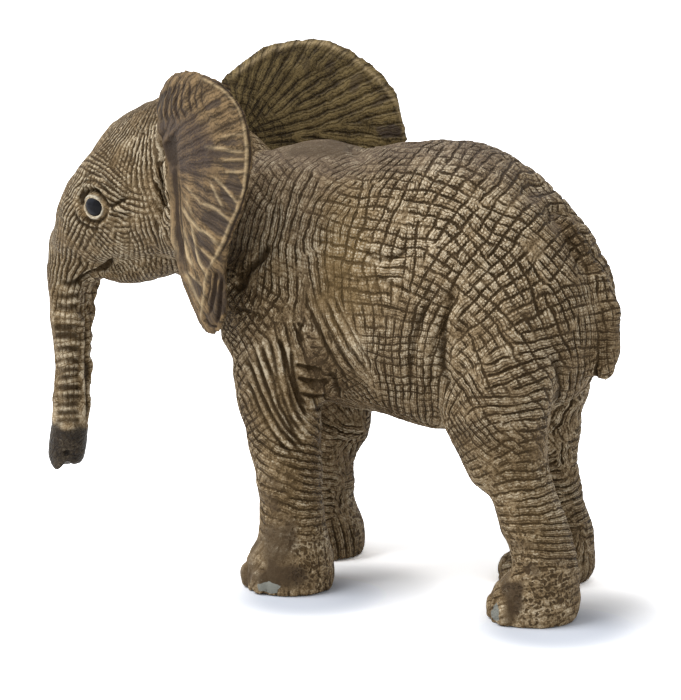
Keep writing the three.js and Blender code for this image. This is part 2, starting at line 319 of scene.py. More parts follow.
class Paint(Graph):
    """A material under construction."""

    def __init__(self, name: str) -> None:
        """Starts an empty material with a principled shader."""
        self.material = bpy.data.materials.new(name)
        self.material.use_nodes = True
        super().__init__(self.material.node_tree)
        self.shader = self.tree.nodes["Principled BSDF"]

    def bump(self, height: Value, distance: float, strength: float = 1.0) -> None:
        """Raises the surface by height times distance, in metres."""
        made = self.node(
            "ShaderNodeBump", {}, {"Height": height, "Distance": distance, "Strength": strength}
        )
        self.feed(self.shader.inputs["Normal"], Value(self, made.outputs[0]))

    def finish(
        self, colour: Value | Colour, roughness: Value | float, **extra: Value | float
    ) -> bpy.types.Material:
        """Feeds the shader and returns the material."""
        self.feed(self.shader.inputs["Base Color"], colour)
        self.feed(self.shader.inputs["Roughness"], roughness)
        for name, value in extra.items():
            self.feed(self.shader.inputs[name.replace("_", " ")], value)
        return self.material


@dataclass(frozen=True)
class HidePaint:
    """Tan skin with a brown wash in its creases, a pale dry brush on its tops and a painted highlight
    beside each crease on the side toward the lamp.

    Colours are written as RRGGBB, scales are counted to the metre and bump is in metres.
    """

    name: str
    groove: str = "39290f"
    shade: str = "4f3d24"
    middle: str = "7b6648"
    tan: str = "9d8869"
    pale: str = "deceb1"
    gold: str = "94794a"
    plum: str = "63554a"
    smooth: str = "413220"
    soot: str = "231c15"
    nail: str = "878881"
    lid: str = "cdc6b4"
    grain_scale: float = 2700
    speck_scale: float = 6000
    patch_scale: float = 520
    waver_scale: float = 1100
    bold_scale: float = 700
    worm_scale: float = 1350
    crack_scale: float = 1150
    crack_width: float = 0.16
    bump: float = 0.00048
    roughness: float = 0.62
    specular: float = 0.2

    def lines(self, paint: Paint, waver: Value, bold: Value, fine: Value) -> tuple[Value, ...]:
        """What both sets of creases bring to the paint.

        Args:
            paint: the material.
            waver: how far the lines stray, in radians.
            bold: how much wider they are drawn.
            fine: where they are drawn closer and darker.
        Returns:
            The cuts, the painted highlights (lips) beside them on the side toward the lamp, the crests
            between them and the fine hairs along them.
        """
        cuts, lips, rows, hairs = [], [], [], []
        for name in ("upright", "around"):
            across, along, amount = paint.attribute(name)
            plain = across.turn(along)
            turn = plain + waver
            wave = turn.cosine()
            side = (turn - math.pi / 2).cosine()
            cuts.append((wave + bold + fine * 0.35).step(0.58, 1.15) * amount)
            # a lip is a painted highlight on the side of each crease that faces the lamp
            lips.append((side - wave * 0.35).step(0.25, 1.0) * amount)
            rows.append(0.6 + (0.4 - wave.step(-0.6, 0.8)) * amount)
            hairs.append((plain * 3.0 + waver * 2.2 + bold * 1.5).cosine().step(0.1, 0.9) * amount)
        cut = cuts[0].most(cuts[1]).held()
        lip = lips[0].most(lips[1]) * (1.0 - cut)
        return cut, lip, rows[0] * rows[1], hairs[0].most(hairs[1])

    def build(self) -> bpy.types.Material:
        """Makes the material."""
        paint = Paint(self.name)
        grain = paint.noise(self.grain_scale, detail=3.0)
        speck = paint.noise(self.speck_scale, detail=2.0)
        patchy = paint.noise(self.patch_scale, detail=2.0)
        fine, brushed, knobs = paint.attribute("brush")
        waver = (paint.noise(self.waver_scale, detail=1.0) - 0.5) * (knobs * 3.0 + 2.6)
        waver = waver + (grain - 0.5) * 1.6
        bold = (paint.noise(self.bold_scale, detail=1.0) - 0.5) * 1.3
        worm = (paint.noise(self.worm_scale, detail=1.5) - 0.5) * 6.0
        lump = (0.3 - worm * worm).most(-0.5) * knobs
        cut, lip, crest, hair = self.lines(paint, waver, bold, fine)
        relief, light_shade_and_tone, plum = paint.attribute("form")
        bare, chip_and_speck, soot = paint.attribute("wash")
        lid, dark, gold = paint.attribute("trim")
        calm = 1.0 - bare
        hair = hair * patchy.step(0.2, 0.45) * calm
        crack = paint.cracks(self.crack_scale, self.crack_width) * calm
        rough_grain = (grain - 0.5) * 0.9
        high = relief * 2.6 + 0.34 + crest * 0.3 + lip * 0.36 - hair * 0.75 - crack * 0.1
        # the tone brings painted highlights and painted shade as well as the paint's own tone
        high = high + rough_grain + (speck - 0.5) * 0.9 + (patchy - 0.5) * 0.8 + light_shade_and_tone * 0.5
        high = high + (crest * 1.1 + lip * 0.6 - 0.34) * fine * 0.6 + brushed * 0.25
        high = (high + lump * 0.85).held()
        base = paint.mix(high.step(0.0, 0.36), linear(self.shade), linear(self.middle))
        base = paint.mix(high.step(0.3, 0.62), base, linear(self.tan))
        base = paint.mix((gold * 0.3).held(), base, linear(self.gold))
        base = paint.mix(high.step(0.54, 1.05) * 0.9, base, linear(self.pale))
        base = paint.mix((plum * (0.8 - high * 0.4)).held(), base, linear(self.plum))
        base = paint.mix((bare * 0.92 - high.step(0.8, 1.0) * 0.25).held(), base, linear(self.smooth))
        sunk = cut * (fine * 0.14 + 0.76) * (1.0 - bare * 0.6)
        base = paint.mix(sunk.held(), base, linear(self.groove))
        base = paint.mix(dark.step(0.06, 0.6) * 0.94, base, linear(self.groove))
        base = paint.mix((soot * (1.03 - high * 0.25)).held(), base, linear(self.soot))
        base = paint.mix((chip_and_speck + rough_grain * 0.6 * chip_and_speck).step(0.35, 0.6), base, linear(self.nail))
        base = paint.mix(lid.held(), base, linear(self.lid))
        height = cut * -0.7 + lip * 0.25 - hair * 0.35 - crack * 0.2 + grain * 0.25 + speck * 0.1
        paint.bump(height + patchy * 0.2 + crest * 0.15 + lump * 0.7, self.bump)
        rough = (self.roughness - soot * 0.24) + (grain - 0.5) * 0.14
        return paint.finish(base, rough, Specular_IOR_Level=self.specular)


@dataclass(frozen=True)
class EarPaint:
    """Purplish brown ear skin with tan veins, painted glints and dark patches, plainer on the side toward
    the body.

    Colours are written as RRGGBB, scales are counted to the metre and bump is in metres.
    """

    name: str = "ear_skin"
    dim: str = "43341f"
    face: str = "8d7452"
    vein_and_glint: str = "cfb78f"
    patch: str = "43372d"
    groove: str = "2c1e10"
    plum: str = "43362f"
    back_dim: str = "33270f"
    back: str = "86734b"
    grain_scale: float = 2500
    speck_scale: float = 5200
    blotch_scale: float = 420
    waver_scale: float = 800
    bump: float = 0.00034
    roughness: float = 0.6
    specular: float = 0.22

    def build(self) -> bpy.types.Material:
        """Makes the material."""
        paint = Paint(self.name)
        vein_and_glint, patch, dark = paint.attribute("marks")
        inner, relief, plum = paint.attribute("form")
        grain = paint.noise(self.grain_scale, detail=3.0)
        speck = paint.noise(self.speck_scale, detail=2.0)
        blotch = paint.noise(self.blotch_scale, detail=3.0)
        wobble = (grain - 0.5) * 0.6
        waver = (paint.noise(self.waver_scale, detail=1.0) - 0.5) * 2.4 + wobble * 1.6
        cuts, lips, hairs = [], [], []
        for name in ("upright", "around"):
            across, along, amount = paint.attribute(name)
            turn = across.turn(along) + waver
            wave = turn.cosine()
            cuts.append(wave.step(0.4, 1.0) * amount)
            lips.append((0.0 - wave).step(0.0, 0.9) * amount)
            hairs.append((turn * 3.0 + waver * 2.0).cosine().step(0.0, 0.9) * amount)
        cut = cuts[0].most(cuts[1])
        lip = lips[0] * (1.0 - cuts[1])
        hair = hairs[0].most(hairs[1])
        high = relief * 3.4 + 0.5 + (blotch - 0.5) * 1.2 + wobble * 1.3 + (speck - 0.5) * 0.8
        high = (high + lip * 0.35 - hair * (0.4 - inner * 0.15)).held()
        front = paint.mix(high.step(0.1, 0.95), linear(self.dim), linear(self.face))
        front = paint.mix((plum * (1.05 - high * 0.5)).held(), front, linear(self.plum))
        back = paint.mix(high.step(0.1, 0.95), linear(self.back_dim), linear(self.back))
        base = paint.mix(inner.step(0.4, 0.6), front, back)
        spread = (patch + wobble * 0.9 + (speck - 0.5) * 0.5).step(0.25, 0.8)
        base = paint.mix((spread * (0.95 - high * 0.3)).held(), base, linear(self.patch))
        # the vein colour also paints the glints on the ridge in front
        bright = vein_and_glint * (0.75 + wobble + (blotch - 0.5) * 0.9)
        base = paint.mix(bright.held(), base, linear(self.vein_and_glint))
        dark = dark.step(0.06, 0.7) * 0.92
        base = paint.mix((cut * (0.6 - inner * 0.35)).held().most(dark), base, linear(self.groove))
        height = grain * 0.3 - cut * 0.5 - hair * 0.25 + vein_and_glint * 0.35 + blotch * 0.2 + speck * 0.12
        paint.bump(height, self.bump)
        rough = (grain - 0.5) * 0.12 + self.roughness
        return paint.finish(base, rough, Specular_IOR_Level=self.specular)


@dataclass(frozen=True)
class EyeLacquer:
    """Glossy near-black paint of the eye, with faint bluish clouds painted in as its reflections."""

    name: str = "eye_lacquer"
    black: str = "101014"
    reflection_tint: str = "22242a"
    cloud_scale: float = 900
    roughness: float = 0.2
    specular: float = 0.16

    def build(self) -> bpy.types.Material:
        """Makes the material."""
        paint = Paint(self.name)
        cloud = paint.noise(self.cloud_scale, detail=1.0)
        # bluish clouds painted in as the eye's reflections
        base = paint.mix(cloud.step(0.35, 0.7), linear(self.black), linear(self.reflection_tint))
        return paint.finish(base, self.roughness, Specular_IOR_Level=self.specular)


def neighbour_table(mesh: bpy.types.Mesh) -> np.ndarray:
    """For each vertex its neighbours along edges, filled up with the vertex itself."""
    edges = np.empty(len(mesh.edges) * 2, np.int32)
    mesh.edges.foreach_get("vertices", edges)
    edges = edges.reshape(-1, 2)
    start = np.concatenate([edges[:, 0], edges[:, 1]])
    end = np.concatenate([edges[:, 1], edges[:, 0]])
    order = np.argsort(start, kind="stable")
    start, end = start[order], end[order]
    first = np.searchsorted(start, np.arange(len(mesh.vertices)))
    place = np.arange(len(start)) - first[start]
    table = np.repeat(np.arange(len(mesh.vertices))[:, None], place.max() + 1, axis=1)
    table[start, place] = end
    return table


INWARD = 0.6
OUTWARD = 0.62


def relaxed(values: np.ndarray, table: np.ndarray, steps: int, keep_volume: bool = False) -> np.ndarray:
    """Averages values over the mesh.

    Args:
        values: one row for each vertex.
        table: each vertex's neighbours.
        steps: how many rounds of averaging.
        keep_volume: also pushes back out each round, so that form isn't lost.
    Returns:
        The averaged values.
    """
    for _ in range(steps):
        values = values + INWARD * (values[table].mean(axis=1) - values)
        if keep_volume:
            values = values - OUTWARD * (values[table].mean(axis=1) - values)
    return values


class Surface:
    """A dense closed skin, with its points held as an array in millimetres."""

    def __init__(self, mesh: bpy.types.Mesh) -> None:
        """Wraps a mesh whose coordinates are in millimetres."""
        self.mesh = mesh
        self.table = neighbour_table(mesh)
        self.points = np.empty(len(mesh.vertices) * 3)
        mesh.vertices.foreach_get("co", self.points)
        self.points = self.points.reshape(-1, 3)

    def area(self) -> float:
        """The surface's area in square millimetres."""
        areas = np.empty(len(self.mesh.polygons))
        self.mesh.polygons.foreach_get("area", areas)
        return float(areas.sum())

    def move(self, points: np.ndarray) -> None:
        """Puts the vertices at new points."""
        self.points = points
        self.mesh.vertices.foreach_set("co", points.ravel())
        self.mesh.update()

    def normals(self) -> np.ndarray:
        """The outward direction at each vertex."""
        found = np.empty(len(self.mesh.vertices) * 3)
        self.mesh.vertex_normals.foreach_get("vector", found)
        return found.reshape(-1, 3)

    def push(self, amount: np.ndarray) -> None:
        """Moves each vertex out along its normal."""
        self.move(self.points + self.normals() * amount[:, None])

    def carry(self, name: str, *parts: np.ndarray) -> None:
        """Stores three values for each vertex as an attribute."""
        layer = self.mesh.attributes.new(name, "FLOAT_VECTOR", "POINT")
        layer.data.foreach_set("vector", np.stack(parts, axis=1).astype(np.float32).ravel())

    def tree(self) -> BVHTree:
        """A search tree over the faces."""
        return BVHTree.FromPolygons(
            [Vector(p) for p in self.points], [tuple(f.vertices) for f in self.mesh.polygons]
        )


def modified(mesh: bpy.types.Mesh, name: str, kind: str, **settings: str | float) -> bpy.types.Mesh:
    """The mesh as one modifier of the given kind changes it."""
    holder = bpy.data.objects.new(name, mesh)
    bpy.context.scene.collection.objects.link(holder)
    modifier = holder.modifiers.new(kind.lower(), kind)
    for setting, value in settings.items():
        setattr(modifier, setting, value)
    baked = bpy.data.meshes.new_from_object(holder.evaluated_get(bpy.context.evaluated_depsgraph_get()))
    bpy.data.objects.remove(holder)
    return baked


def moulded(nodes: list[str], grow: float, voxel: float, name: str) -> Surface:
    """One closed even skin round merged copies of CAD nodes.

    Args:
        nodes: the names of the nodes.
        grow: how far each copy is grown first, in millimetres, which closes the glue gaps.
        voxel: the spacing of the skin's points, in millimetres.
        name: the name of the mesh.
    Returns:
        The skin.
    """
    whole = bmesh.new()
    for node in nodes:
        piece = bmesh.new()
        piece.from_mesh(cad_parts[node].data)
        bmesh.ops.scale(piece, vec=(1 / MILLIMETRE,) * 3, verts=piece.verts)
        bmesh.ops.remove_doubles(piece, verts=piece.verts, dist=1e-3)
        bmesh.ops.recalc_face_normals(piece, faces=piece.faces)
        piece.normal_update()
        for vert in piece.verts:
            vert.co += vert.normal * grow
        part = bpy.data.meshes.new("part")
        piece.to_mesh(part)
        piece.free()
        whole.from_mesh(part)
        bpy.data.meshes.remove(part)
    mesh = bpy.data.meshes.new(name)
    whole.to_mesh(mesh)
    whole.free()
    return Surface(largest_island(modified(mesh, name, "REMESH", mode="VOXEL", voxel_size=voxel)))


def largest_island(mesh: bpy.types.Mesh) -> bpy.types.Mesh:
    """The mesh without any piece that isn't joined to its largest one."""
    table = neighbour_table(mesh)
    label = np.arange(len(table))
    while True:
        lower = label[table].min(axis=1)
        lower = lower[lower]
        if np.array_equal(lower, label):
            break
        label = lower
    names, sizes = np.unique(label, return_counts=True)
    keep = label == names[sizes.argmax()]
    if keep.all():
        return mesh
    bm = bmesh.new()
    bm.from_mesh(mesh)
    doomed = [vert for vert in bm.verts if not keep[vert.index]]
    bmesh.ops.delete(bm, geom=doomed, context="VERTS")
    bm.to_mesh(mesh)
    bm.free()
    return mesh


def refined(surface: Surface, name: str) -> Surface:
    """The surface with every face split in four and smoothed."""
    return Surface(modified(surface.mesh, name, "SUBSURF", levels=1, render_levels=1))


@dataclass(frozen=True)
class Stroke:
    """One sculpting stroke, drawn on the picture and pressed into the skin.

    Attributes:
        path: its pixels on the picture.
        width: the half width of the mark, in pixels.
        depth: how deep it is pressed, in millimetres; a negative one raises a ridge.
        dark: how much brown wash it holds, from zero to one.
    """

    path: Path
    width: float
    depth: float
    dark: float = 0.0


@dataclass(frozen=True)
class Spot:
    """An oval patch on the picture.

    Attributes:
        centre: its middle, in pixels.
        radii: its half length and half width, in pixels.
        turn: how far its length turns down from level, in degrees.
        strength: what it adds.
        edge: the softness of its border, as a share of its radii.
    """

    centre: tuple[float, float]
    radii: tuple[float, float]
    turn: float = 0.0
    strength: float = 1.0
    edge: float = 0.4


class Sketch:
    """Every vertex of a skin laid on the picture, so that marks can be drawn on it."""

    def __init__(self, camera: PhotoCamera, points: np.ndarray, normals: np.ndarray) -> None:
        """Lays the vertices out.

        Args:
            camera: the photo camera.
            points: the vertices, with those of the far side mirrored to the near one.
            normals: their outward directions, mirrored alike.
        """
        self.pixels = camera.pixels(points)
        self.seen = smoothstep(0.0, 0.25, normals @ camera.axes()[2])

    def line(self, path: Path, width: float) -> np.ndarray:
        """How strongly a line of the given half width marks each vertex."""
        corners = np.array(path, float)
        low, high = corners.min(0) - 3 * width, corners.max(0) + 3 * width
        near = np.flatnonzero(((self.pixels > low) & (self.pixels < high)).all(axis=1))
        lengths = np.linalg.norm(np.diff(corners, axis=0), axis=1)
        done = np.concatenate([[0.0], np.cumsum(lengths)])
        best = np.zeros(len(near))
        for start, end, length, before in zip(corners, corners[1:], lengths, done):
            away = self.pixels[near] - start
            way = (end - start) / max(length, 1e-6)
            along = np.clip(away @ way, 0, length)
            gap = np.linalg.norm(away - along[:, None] * way, axis=1)
            share = (before + along) / done[-1]
            taper = 0.25 + 0.75 * smoothstep(0, 0.15, share) * smoothstep(0, 0.15, 1 - share)
            best = np.maximum(best, bell(gap, width) * taper)
        strength = np.zeros(len(self.pixels))
        strength[near] = best
        return strength * self.seen

    def offset(self, spot: Spot) -> np.ndarray:
        """How far out each vertex lies from a spot's middle, with its border at one."""
        turn = math.radians(spot.turn)
        away = self.pixels - np.array(spot.centre)
        along = away @ np.array([math.cos(turn), math.sin(turn)]) / spot.radii[0]
        across = away @ np.array([-math.sin(turn), math.cos(turn)]) / spot.radii[1]
        return np.hypot(along, across)

    def spots(self, spots: tuple[Spot, ...], ragged: np.ndarray | float = 0.0) -> np.ndarray:
        """The sum of some spots at each vertex, with ragged borders if asked."""
        total = np.zeros(len(self.pixels))
        for spot in spots:
            out = self.offset(spot) + ragged
            total += spot.strength * (1 - smoothstep(1 - spot.edge, 1 + spot.edge, out)) * self.seen
        return total

    def pressed(self, strokes: tuple[Stroke, ...]) -> tuple[np.ndarray, np.ndarray]:
        """The outward move in millimetres and the brown wash that strokes bring."""
        move = np.zeros(len(self.pixels))
        dark = np.zeros(len(self.pixels))
        for stroke in strokes:
            mark = self.line(stroke.path, stroke.width)
            move -= stroke.depth * mark
            if stroke.dark:
                dark = np.maximum(dark, stroke.dark * self.line(stroke.path, stroke.width * 0.82))
        return move, dark


@dataclass(frozen=True)
class Flow:
    """How two crossing sets of creases run near one spot of the picture.

    Attributes:
        spot: the pixel.
        lines: the direction of each set's lines, in degrees up from level.
        gaps: the spacing of each set's lines, in millimetres.
        depths: how strong each set is, from zero to one.
    """

    spot: tuple[float, float]
    lines: tuple[float, float]
    gaps: tuple[float, float]
    depths: tuple[float, float]


NECK_FLOWS = (
    Flow((245, 235), (80, -20), (1.25, 1.6), (0.9, 0.3)),
    Flow((258, 190), (72, -45), (1.2, 1.3), (0.8, 0.5)),
    Flow((275, 165), (48, -38), (1.1, 1.1), (0.6, 0.6)),
    Flow((290, 215), (78, -15), (1.25, 1.6), (1.0, 0.3)),
    Flow((285, 265), (90, -30), (1.15, 1.4), (0.9, 0.4)),
    Flow((262, 290), (76, -38), (1.05, 1.2), (0.9, 0.6)),
    Flow((310, 190), (60, -20), (1.35, 1.8), (0.9, 0.3)),
    Flow((306, 250), (98, -20), (1.25, 1.7), (0.9, 0.4)),
    Flow((312, 300), (106, -20), (1.15, 1.8), (0.8, 0.3)),
    Flow((300, 150), (20, -60), (0.9, 1.4), (0.35, 0.2)),
    Flow((340, 150), (25, -50), (0.9, 1.4), (0.45, 0.2)),
    Flow((338, 170), (38, -35), (1.0, 1.3), (0.8, 0.4)),
)

FLANK_FLOWS = (
    Flow((325, 205), (58, -10), (1.1, 1.3), (0.7, 0.7)),
    Flow((335, 240), (82, -14), (0.9, 1.3), (0.8, 0.7)),
    Flow((370, 200), (68, -5), (1.5, 1.4), (0.9, 0.8)),
    Flow((372, 238), (80, -3), (1.4, 1.2), (0.8, 0.8)),
    Flow((405, 195), (66, -12), (1.6, 1.4), (1.0, 0.9)),
    Flow((402, 235), (74, -4), (1.5, 1.2), (1.0, 0.9)),
    Flow((390, 268), (80, -10), (1.2, 1.1), (0.8, 0.9)),
    Flow((345, 285), (94, -12), (1.1, 1.5), (0.55, 0.6)),
    Flow((385, 302), (88, -12), (1.2, 1.3), (0.6, 0.9)),
    Flow((425, 275), (62, -25), (1.3, 1.3), (0.8, 0.8)),
    Flow((412, 330), (80, -6), (1.3, 1.2), (0.9, 0.7)),
    Flow((382, 348), (90, -4), (1.0, 1.0), (0.8, 0.8)),
    Flow((334, 310), (112, -10), (0.95, 1.4), (0.9, 0.4)),
    Flow((345, 345), (122, 10), (0.9, 1.3), (1.0, 0.4)),
    Flow((368, 385), (132, 15), (0.9, 1.1), (1.0, 0.5)),
    Flow((400, 388), (96, -4), (0.9, 1.1), (1.0, 0.7)),
    Flow((440, 400), (90, -4), (0.95, 1.2), (0.9, 0.6)),
    Flow((436, 350), (84, -10), (1.2, 1.2), (0.8, 0.7)),
)

RUMP_FLOWS = (
    Flow((375, 160), (36, -5), (1.1, 1.3), (0.9, 0.5)),
    Flow((420, 155), (46, -6), (1.3, 1.4), (0.9, 0.7)),
    Flow((460, 155), (50, -13), (1.5, 1.5), (0.9, 0.7)),
    Flow((440, 182), (56, -20), (1.7, 1.6), (0.9, 1.0)),
    Flow((495, 172), (48, -32), (1.5, 1.5), (0.9, 0.8)),
    Flow((440, 218), (60, -27), (1.8, 1.6), (0.9, 1.0)),
    Flow((480, 215), (49, -30), (1.7, 1.4), (1.0, 0.9)),
    Flow((520, 220), (45, -36), (1.6, 1.4), (1.0, 0.9)),
    Flow((555, 222), (42, -46), (1.4, 1.3), (0.9, 0.7)),
    Flow((465, 255), (50, -38), (1.6, 1.4), (1.0, 0.8)),
    Flow((502, 252), (46, -38), (1.6, 1.4), (1.0, 1.0)),
    Flow((540, 262), (43, -48), (1.5, 1.4), (1.0, 1.0)),
    Flow((510, 288), (46, -48), (1.5, 1.4), (1.0, 1.0)),
    Flow((572, 262), (35, -60), (1.4, 1.2), (0.9, 0.9)),
    Flow((555, 300), (32, -62), (1.4, 1.3), (0.9, 1.0)),
    Flow((590, 290), (12, -78), (1.3, 1.1), (0.7, 0.9)),
    Flow((576, 330), (10, -82), (1.3, 1.2), (0.7, 1.0)),
    Flow((568, 385), (10, -88), (1.3, 1.1), (0.5, 1.0)),
    Flow((610, 330), (8, -84), (0.75, 1.0), (0.7, 0.5)),
)

THIGH_FLOWS = (
    Flow((480, 300), (44, -50), (1.5, 1.4), (0.9, 0.8)),
    Flow((520, 322), (24, -54), (1.5, 1.6), (0.9, 0.9)),
    Flow((475, 345), (42, -60), (1.3, 1.2), (0.7, 0.8)),
    Flow((505, 365), (20, -56), (1.4, 1.8), (1.0, 0.8)),
    Flow((540, 362), (12, -56), (1.4, 1.8), (1.0, 0.7)),
    Flow((500, 400), (6, -56), (1.4, 1.8), (1.0, 0.6)),
    Flow((535, 402), (8, -50), (1.4, 1.8), (1.0, 0.6)),
    Flow((464, 385), (30, -74), (1.3, 0.85), (0.5, 1.0)),
    Flow((474, 430), (35, -58), (1.3, 0.9), (0.5, 1.0)),
    Flow((505, 440), (16, -30), (1.3, 1.1), (0.8, 0.8)),
    Flow((540, 440), (16, -45), (1.3, 1.4), (0.9, 0.6)),
    Flow((490, 475), (20, -42), (1.1, 1.0), (0.8, 0.48)),
    Flow((525, 482), (12, -60), (1.15, 1.3), (1.0, 0.3)),
    Flow((530, 512), (12, -65), (1.15, 1.6), (1.0, 0.24)),
    Flow((555, 525), (8, -65), (1.0, 1.6), (1.0, 0.24)),
    Flow((518, 550), (-8, -70), (1.1, 1.2), (0.9, 0.3)),
    Flow((558, 560), (4, -70), (1.05, 1.3), (0.9, 0.3)),
    Flow((540, 590), (14, -62), (1.2, 1.2), (0.7, 0.42)),
    Flow((500, 600), (30, -60), (1.2, 1.2), (0.5, 0.3)),
    Flow((572, 600), (10, -75), (1.1, 1.3), (0.7, 0.3)),
)

FORELEG_FLOWS = (
    Flow((250, 322), (56, -50), (1.0, 1.0), (0.8, 0.9)),
    Flow((243, 362), (52, -58), (1.0, 1.2), (0.7, 1.0)),
    Flow((262, 345), (48, -68), (1.3, 1.3), (0.4, 1.0)),
    Flow((284, 350), (40, -76), (1.4, 1.4), (0.3, 1.0)),
    Flow((305, 370), (20, -82), (1.4, 1.5), (0.5, 0.7)),
    Flow((265, 392), (46, -58), (1.3, 1.3), (0.5, 1.0)),
    Flow((290, 408), (36, -54), (1.4, 1.3), (0.3, 1.0)),
    Flow((312, 425), (10, -40), (1.2, 1.1), (0.4, 0.9)),
    Flow((250, 415), (50, -56), (1.0, 1.2), (0.9, 0.9)),
    Flow((270, 445), (50, -40), (1.1, 1.2), (0.52, 1.0)),
    Flow((302, 450), (60, -14), (1.3, 1.0), (0.33, 1.0)),
    Flow((262, 480), (48, -46), (1.1, 1.3), (0.52, 0.9)),
    Flow((292, 480), (60, -26), (1.3, 1.1), (0.33, 1.0)),
    Flow((316, 480), (70, -4), (1.4, 0.9), (0.2, 1.0)),
    Flow((270, 508), (50, -30), (1.2, 1.2), (0.33, 1.0)),
    Flow((302, 510), (60, 0), (1.3, 1.1), (0.33, 0.9)),
    Flow((320, 520), (70, 16), (1.3, 1.1), (0.26, 0.9)),
    Flow((302, 548), (76, 10), (1.3, 1.2), (0.7, 0.45)),
    Flow((322, 560), (85, 10), (1.1, 1.2), (0.8, 0.39)),
    Flow((250, 570), (50, -20), (1.3, 1.2), (0.5, 0.33)),
    Flow((295, 580), (80, 5), (1.3, 1.2), (0.6, 0.26)),
)

HEAD_FLOWS = (
    Flow((60, 232), (74, -38), (0.64, 0.88), (1.0, 0.2)),
    Flow((56, 265), (84, -12), (0.64, 0.96), (1.0, 0.13)),
    Flow((75, 205), (62, -36), (0.64, 0.80), (0.9, 0.38)),
    Flow((80, 180), (54, -20), (0.64, 0.72), (0.9, 0.23)),
    Flow((95, 162), (44, -36), (0.72, 0.64), (0.17, 1.0)),
    Flow((110, 176), (50, -48), (0.72, 0.64), (0.17, 1.0)),
    Flow((105, 142), (48, -50), (0.68, 0.72), (0.8, 0.38)),
    Flow((122, 142), (62, -60), (0.64, 0.72), (1.0, 0.17)),
    Flow((130, 118), (52, -50), (0.64, 0.96), (0.9, 0.07)),
    Flow((148, 112), (66, -30), (0.64, 0.96), (0.9, 0.07)),
    Flow((148, 145), (100, 0), (0.68, 1.04), (1.0, 0.1)),
    Flow((128, 168), (92, -52), (0.72, 0.72), (0.7, 0.34)),
    Flow((150, 182), (100, 5), (0.72, 0.96), (1.0, 0.1)),
    Flow((130, 192), (84, -45), (0.72, 0.72), (0.2, 0.8)),
    Flow((156, 212), (108, 10), (0.72, 0.88), (0.9, 0.2)),
    Flow((128, 216), (88, -6), (0.88, 0.72), (0.17, 0.9)),
    Flow((150, 245), (108, 30), (0.72, 0.72), (0.9, 0.23)),
    Flow((172, 250), (106, 10), (0.72, 0.96), (0.9, 0.13)),
    Flow((128, 245), (95, -6), (0.72, 0.80), (0.8, 0.34)),
    Flow((102, 245), (62, -44), (0.88, 0.64), (0.13, 1.0)),
    Flow((80, 252), (62, -52), (0.72, 0.68), (0.8, 0.43)),
    Flow((80, 228), (62, -44), (0.68, 0.68), (0.9, 0.43)),
    Flow((68, 272), (80, -42), (0.72, 0.80), (0.9, 0.2)),
    Flow((118, 268), (74, -58), (0.64, 0.60), (0.23, 0.9)),
    Flow((145, 270), (68, -50), (0.68, 0.64), (0.23, 0.9)),
    Flow((172, 268), (80, -55), (0.68, 0.72), (0.8, 0.38)),
)

TRUNK_FLOWS = (
    Flow((55, 300), (86, -6), (0.7, 1.4), (0.8, 0.3)),
    Flow((72, 310), (86, -6), (1.0, 0.8), (0.3, 0.5)),
    Flow((92, 310), (86, 10), (0.9, 0.9), (0.6, 0.6)),
    Flow((62, 370), (88, 4), (0.8, 0.8), (0.4, 0.5)),
    Flow((88, 380), (88, 8), (0.9, 0.9), (0.5, 0.5)),
    Flow((70, 440), (88, 0), (0.8, 0.8), (0.2, 0.2)),
)

FLOWS = NECK_FLOWS + FLANK_FLOWS + RUMP_FLOWS + THIGH_FLOWS + FORELEG_FLOWS + HEAD_FLOWS + TRUNK_FLOWS


class FlowMap:
    """The run of the creases over the picture, blended from the spots where it is known."""

    batch = 20000

    def __init__(self, flows: tuple[Flow, ...], blur: float = 13.0) -> None:
        """Keeps the spots; blur is how far each one reaches, in pixels."""
        self.spots = np.array([flow.spot for flow in flows])
        self.known = np.array([(*flow.lines, *flow.gaps, *flow.depths) for flow in flows])
        self.blur = blur

    def at(self, pixels: np.ndarray) -> np.ndarray:
        """Lines, gaps and depths of both sets at each pixel, six numbers to a row."""
        found = np.empty((len(pixels), self.known.shape[1]))
        for start in range(0, len(pixels), self.batch):
            part = slice(start, start + self.batch)
            away = ((pixels[part, None] - self.spots) ** 2).sum(axis=2)
            pull = np.exp(-0.5 * (away - away.min(axis=1, keepdims=True)) / self.blur**2)
            found[part] = pull @ self.known / pull.sum(axis=1, keepdims=True)
        return found


class Cells:
    """Points sorted into cubes of space, so that those near a place are found fast."""

    def __init__(self, points: np.ndarray, size: float) -> None:
        """Sorts the points into cubes of the given size."""
        self.size = size
        self.low = points.min(axis=0)
        cells = ((points - self.low) // size).astype(int)
        self.shape = cells.max(axis=0) + 1
        index = np.ravel_multi_index(cells.T, self.shape)
        self.order = np.argsort(index, kind="stable")
        self.start = np.searchsorted(index[self.order], np.arange(self.shape.prod() + 1))

    def near(self, place: np.ndarray, reach: float) -> np.ndarray:
        """The numbers of the points in the cubes within reach of a place."""
        first = np.clip(((place - reach - self.low) // self.size).astype(int), 0, self.shape - 1)
        last = np.clip(((place + reach - self.low) // self.size).astype(int), 0, self.shape - 1)
        found = []
        for a in range(first[0], last[0] + 1):
            for b in range(first[1], last[1] + 1):
                base = (a * self.shape[1] + b) * self.shape[2]
                found.append(self.order[self.start[base + first[2]] : self.start[base + last[2] + 1]])
        return np.concatenate(found)


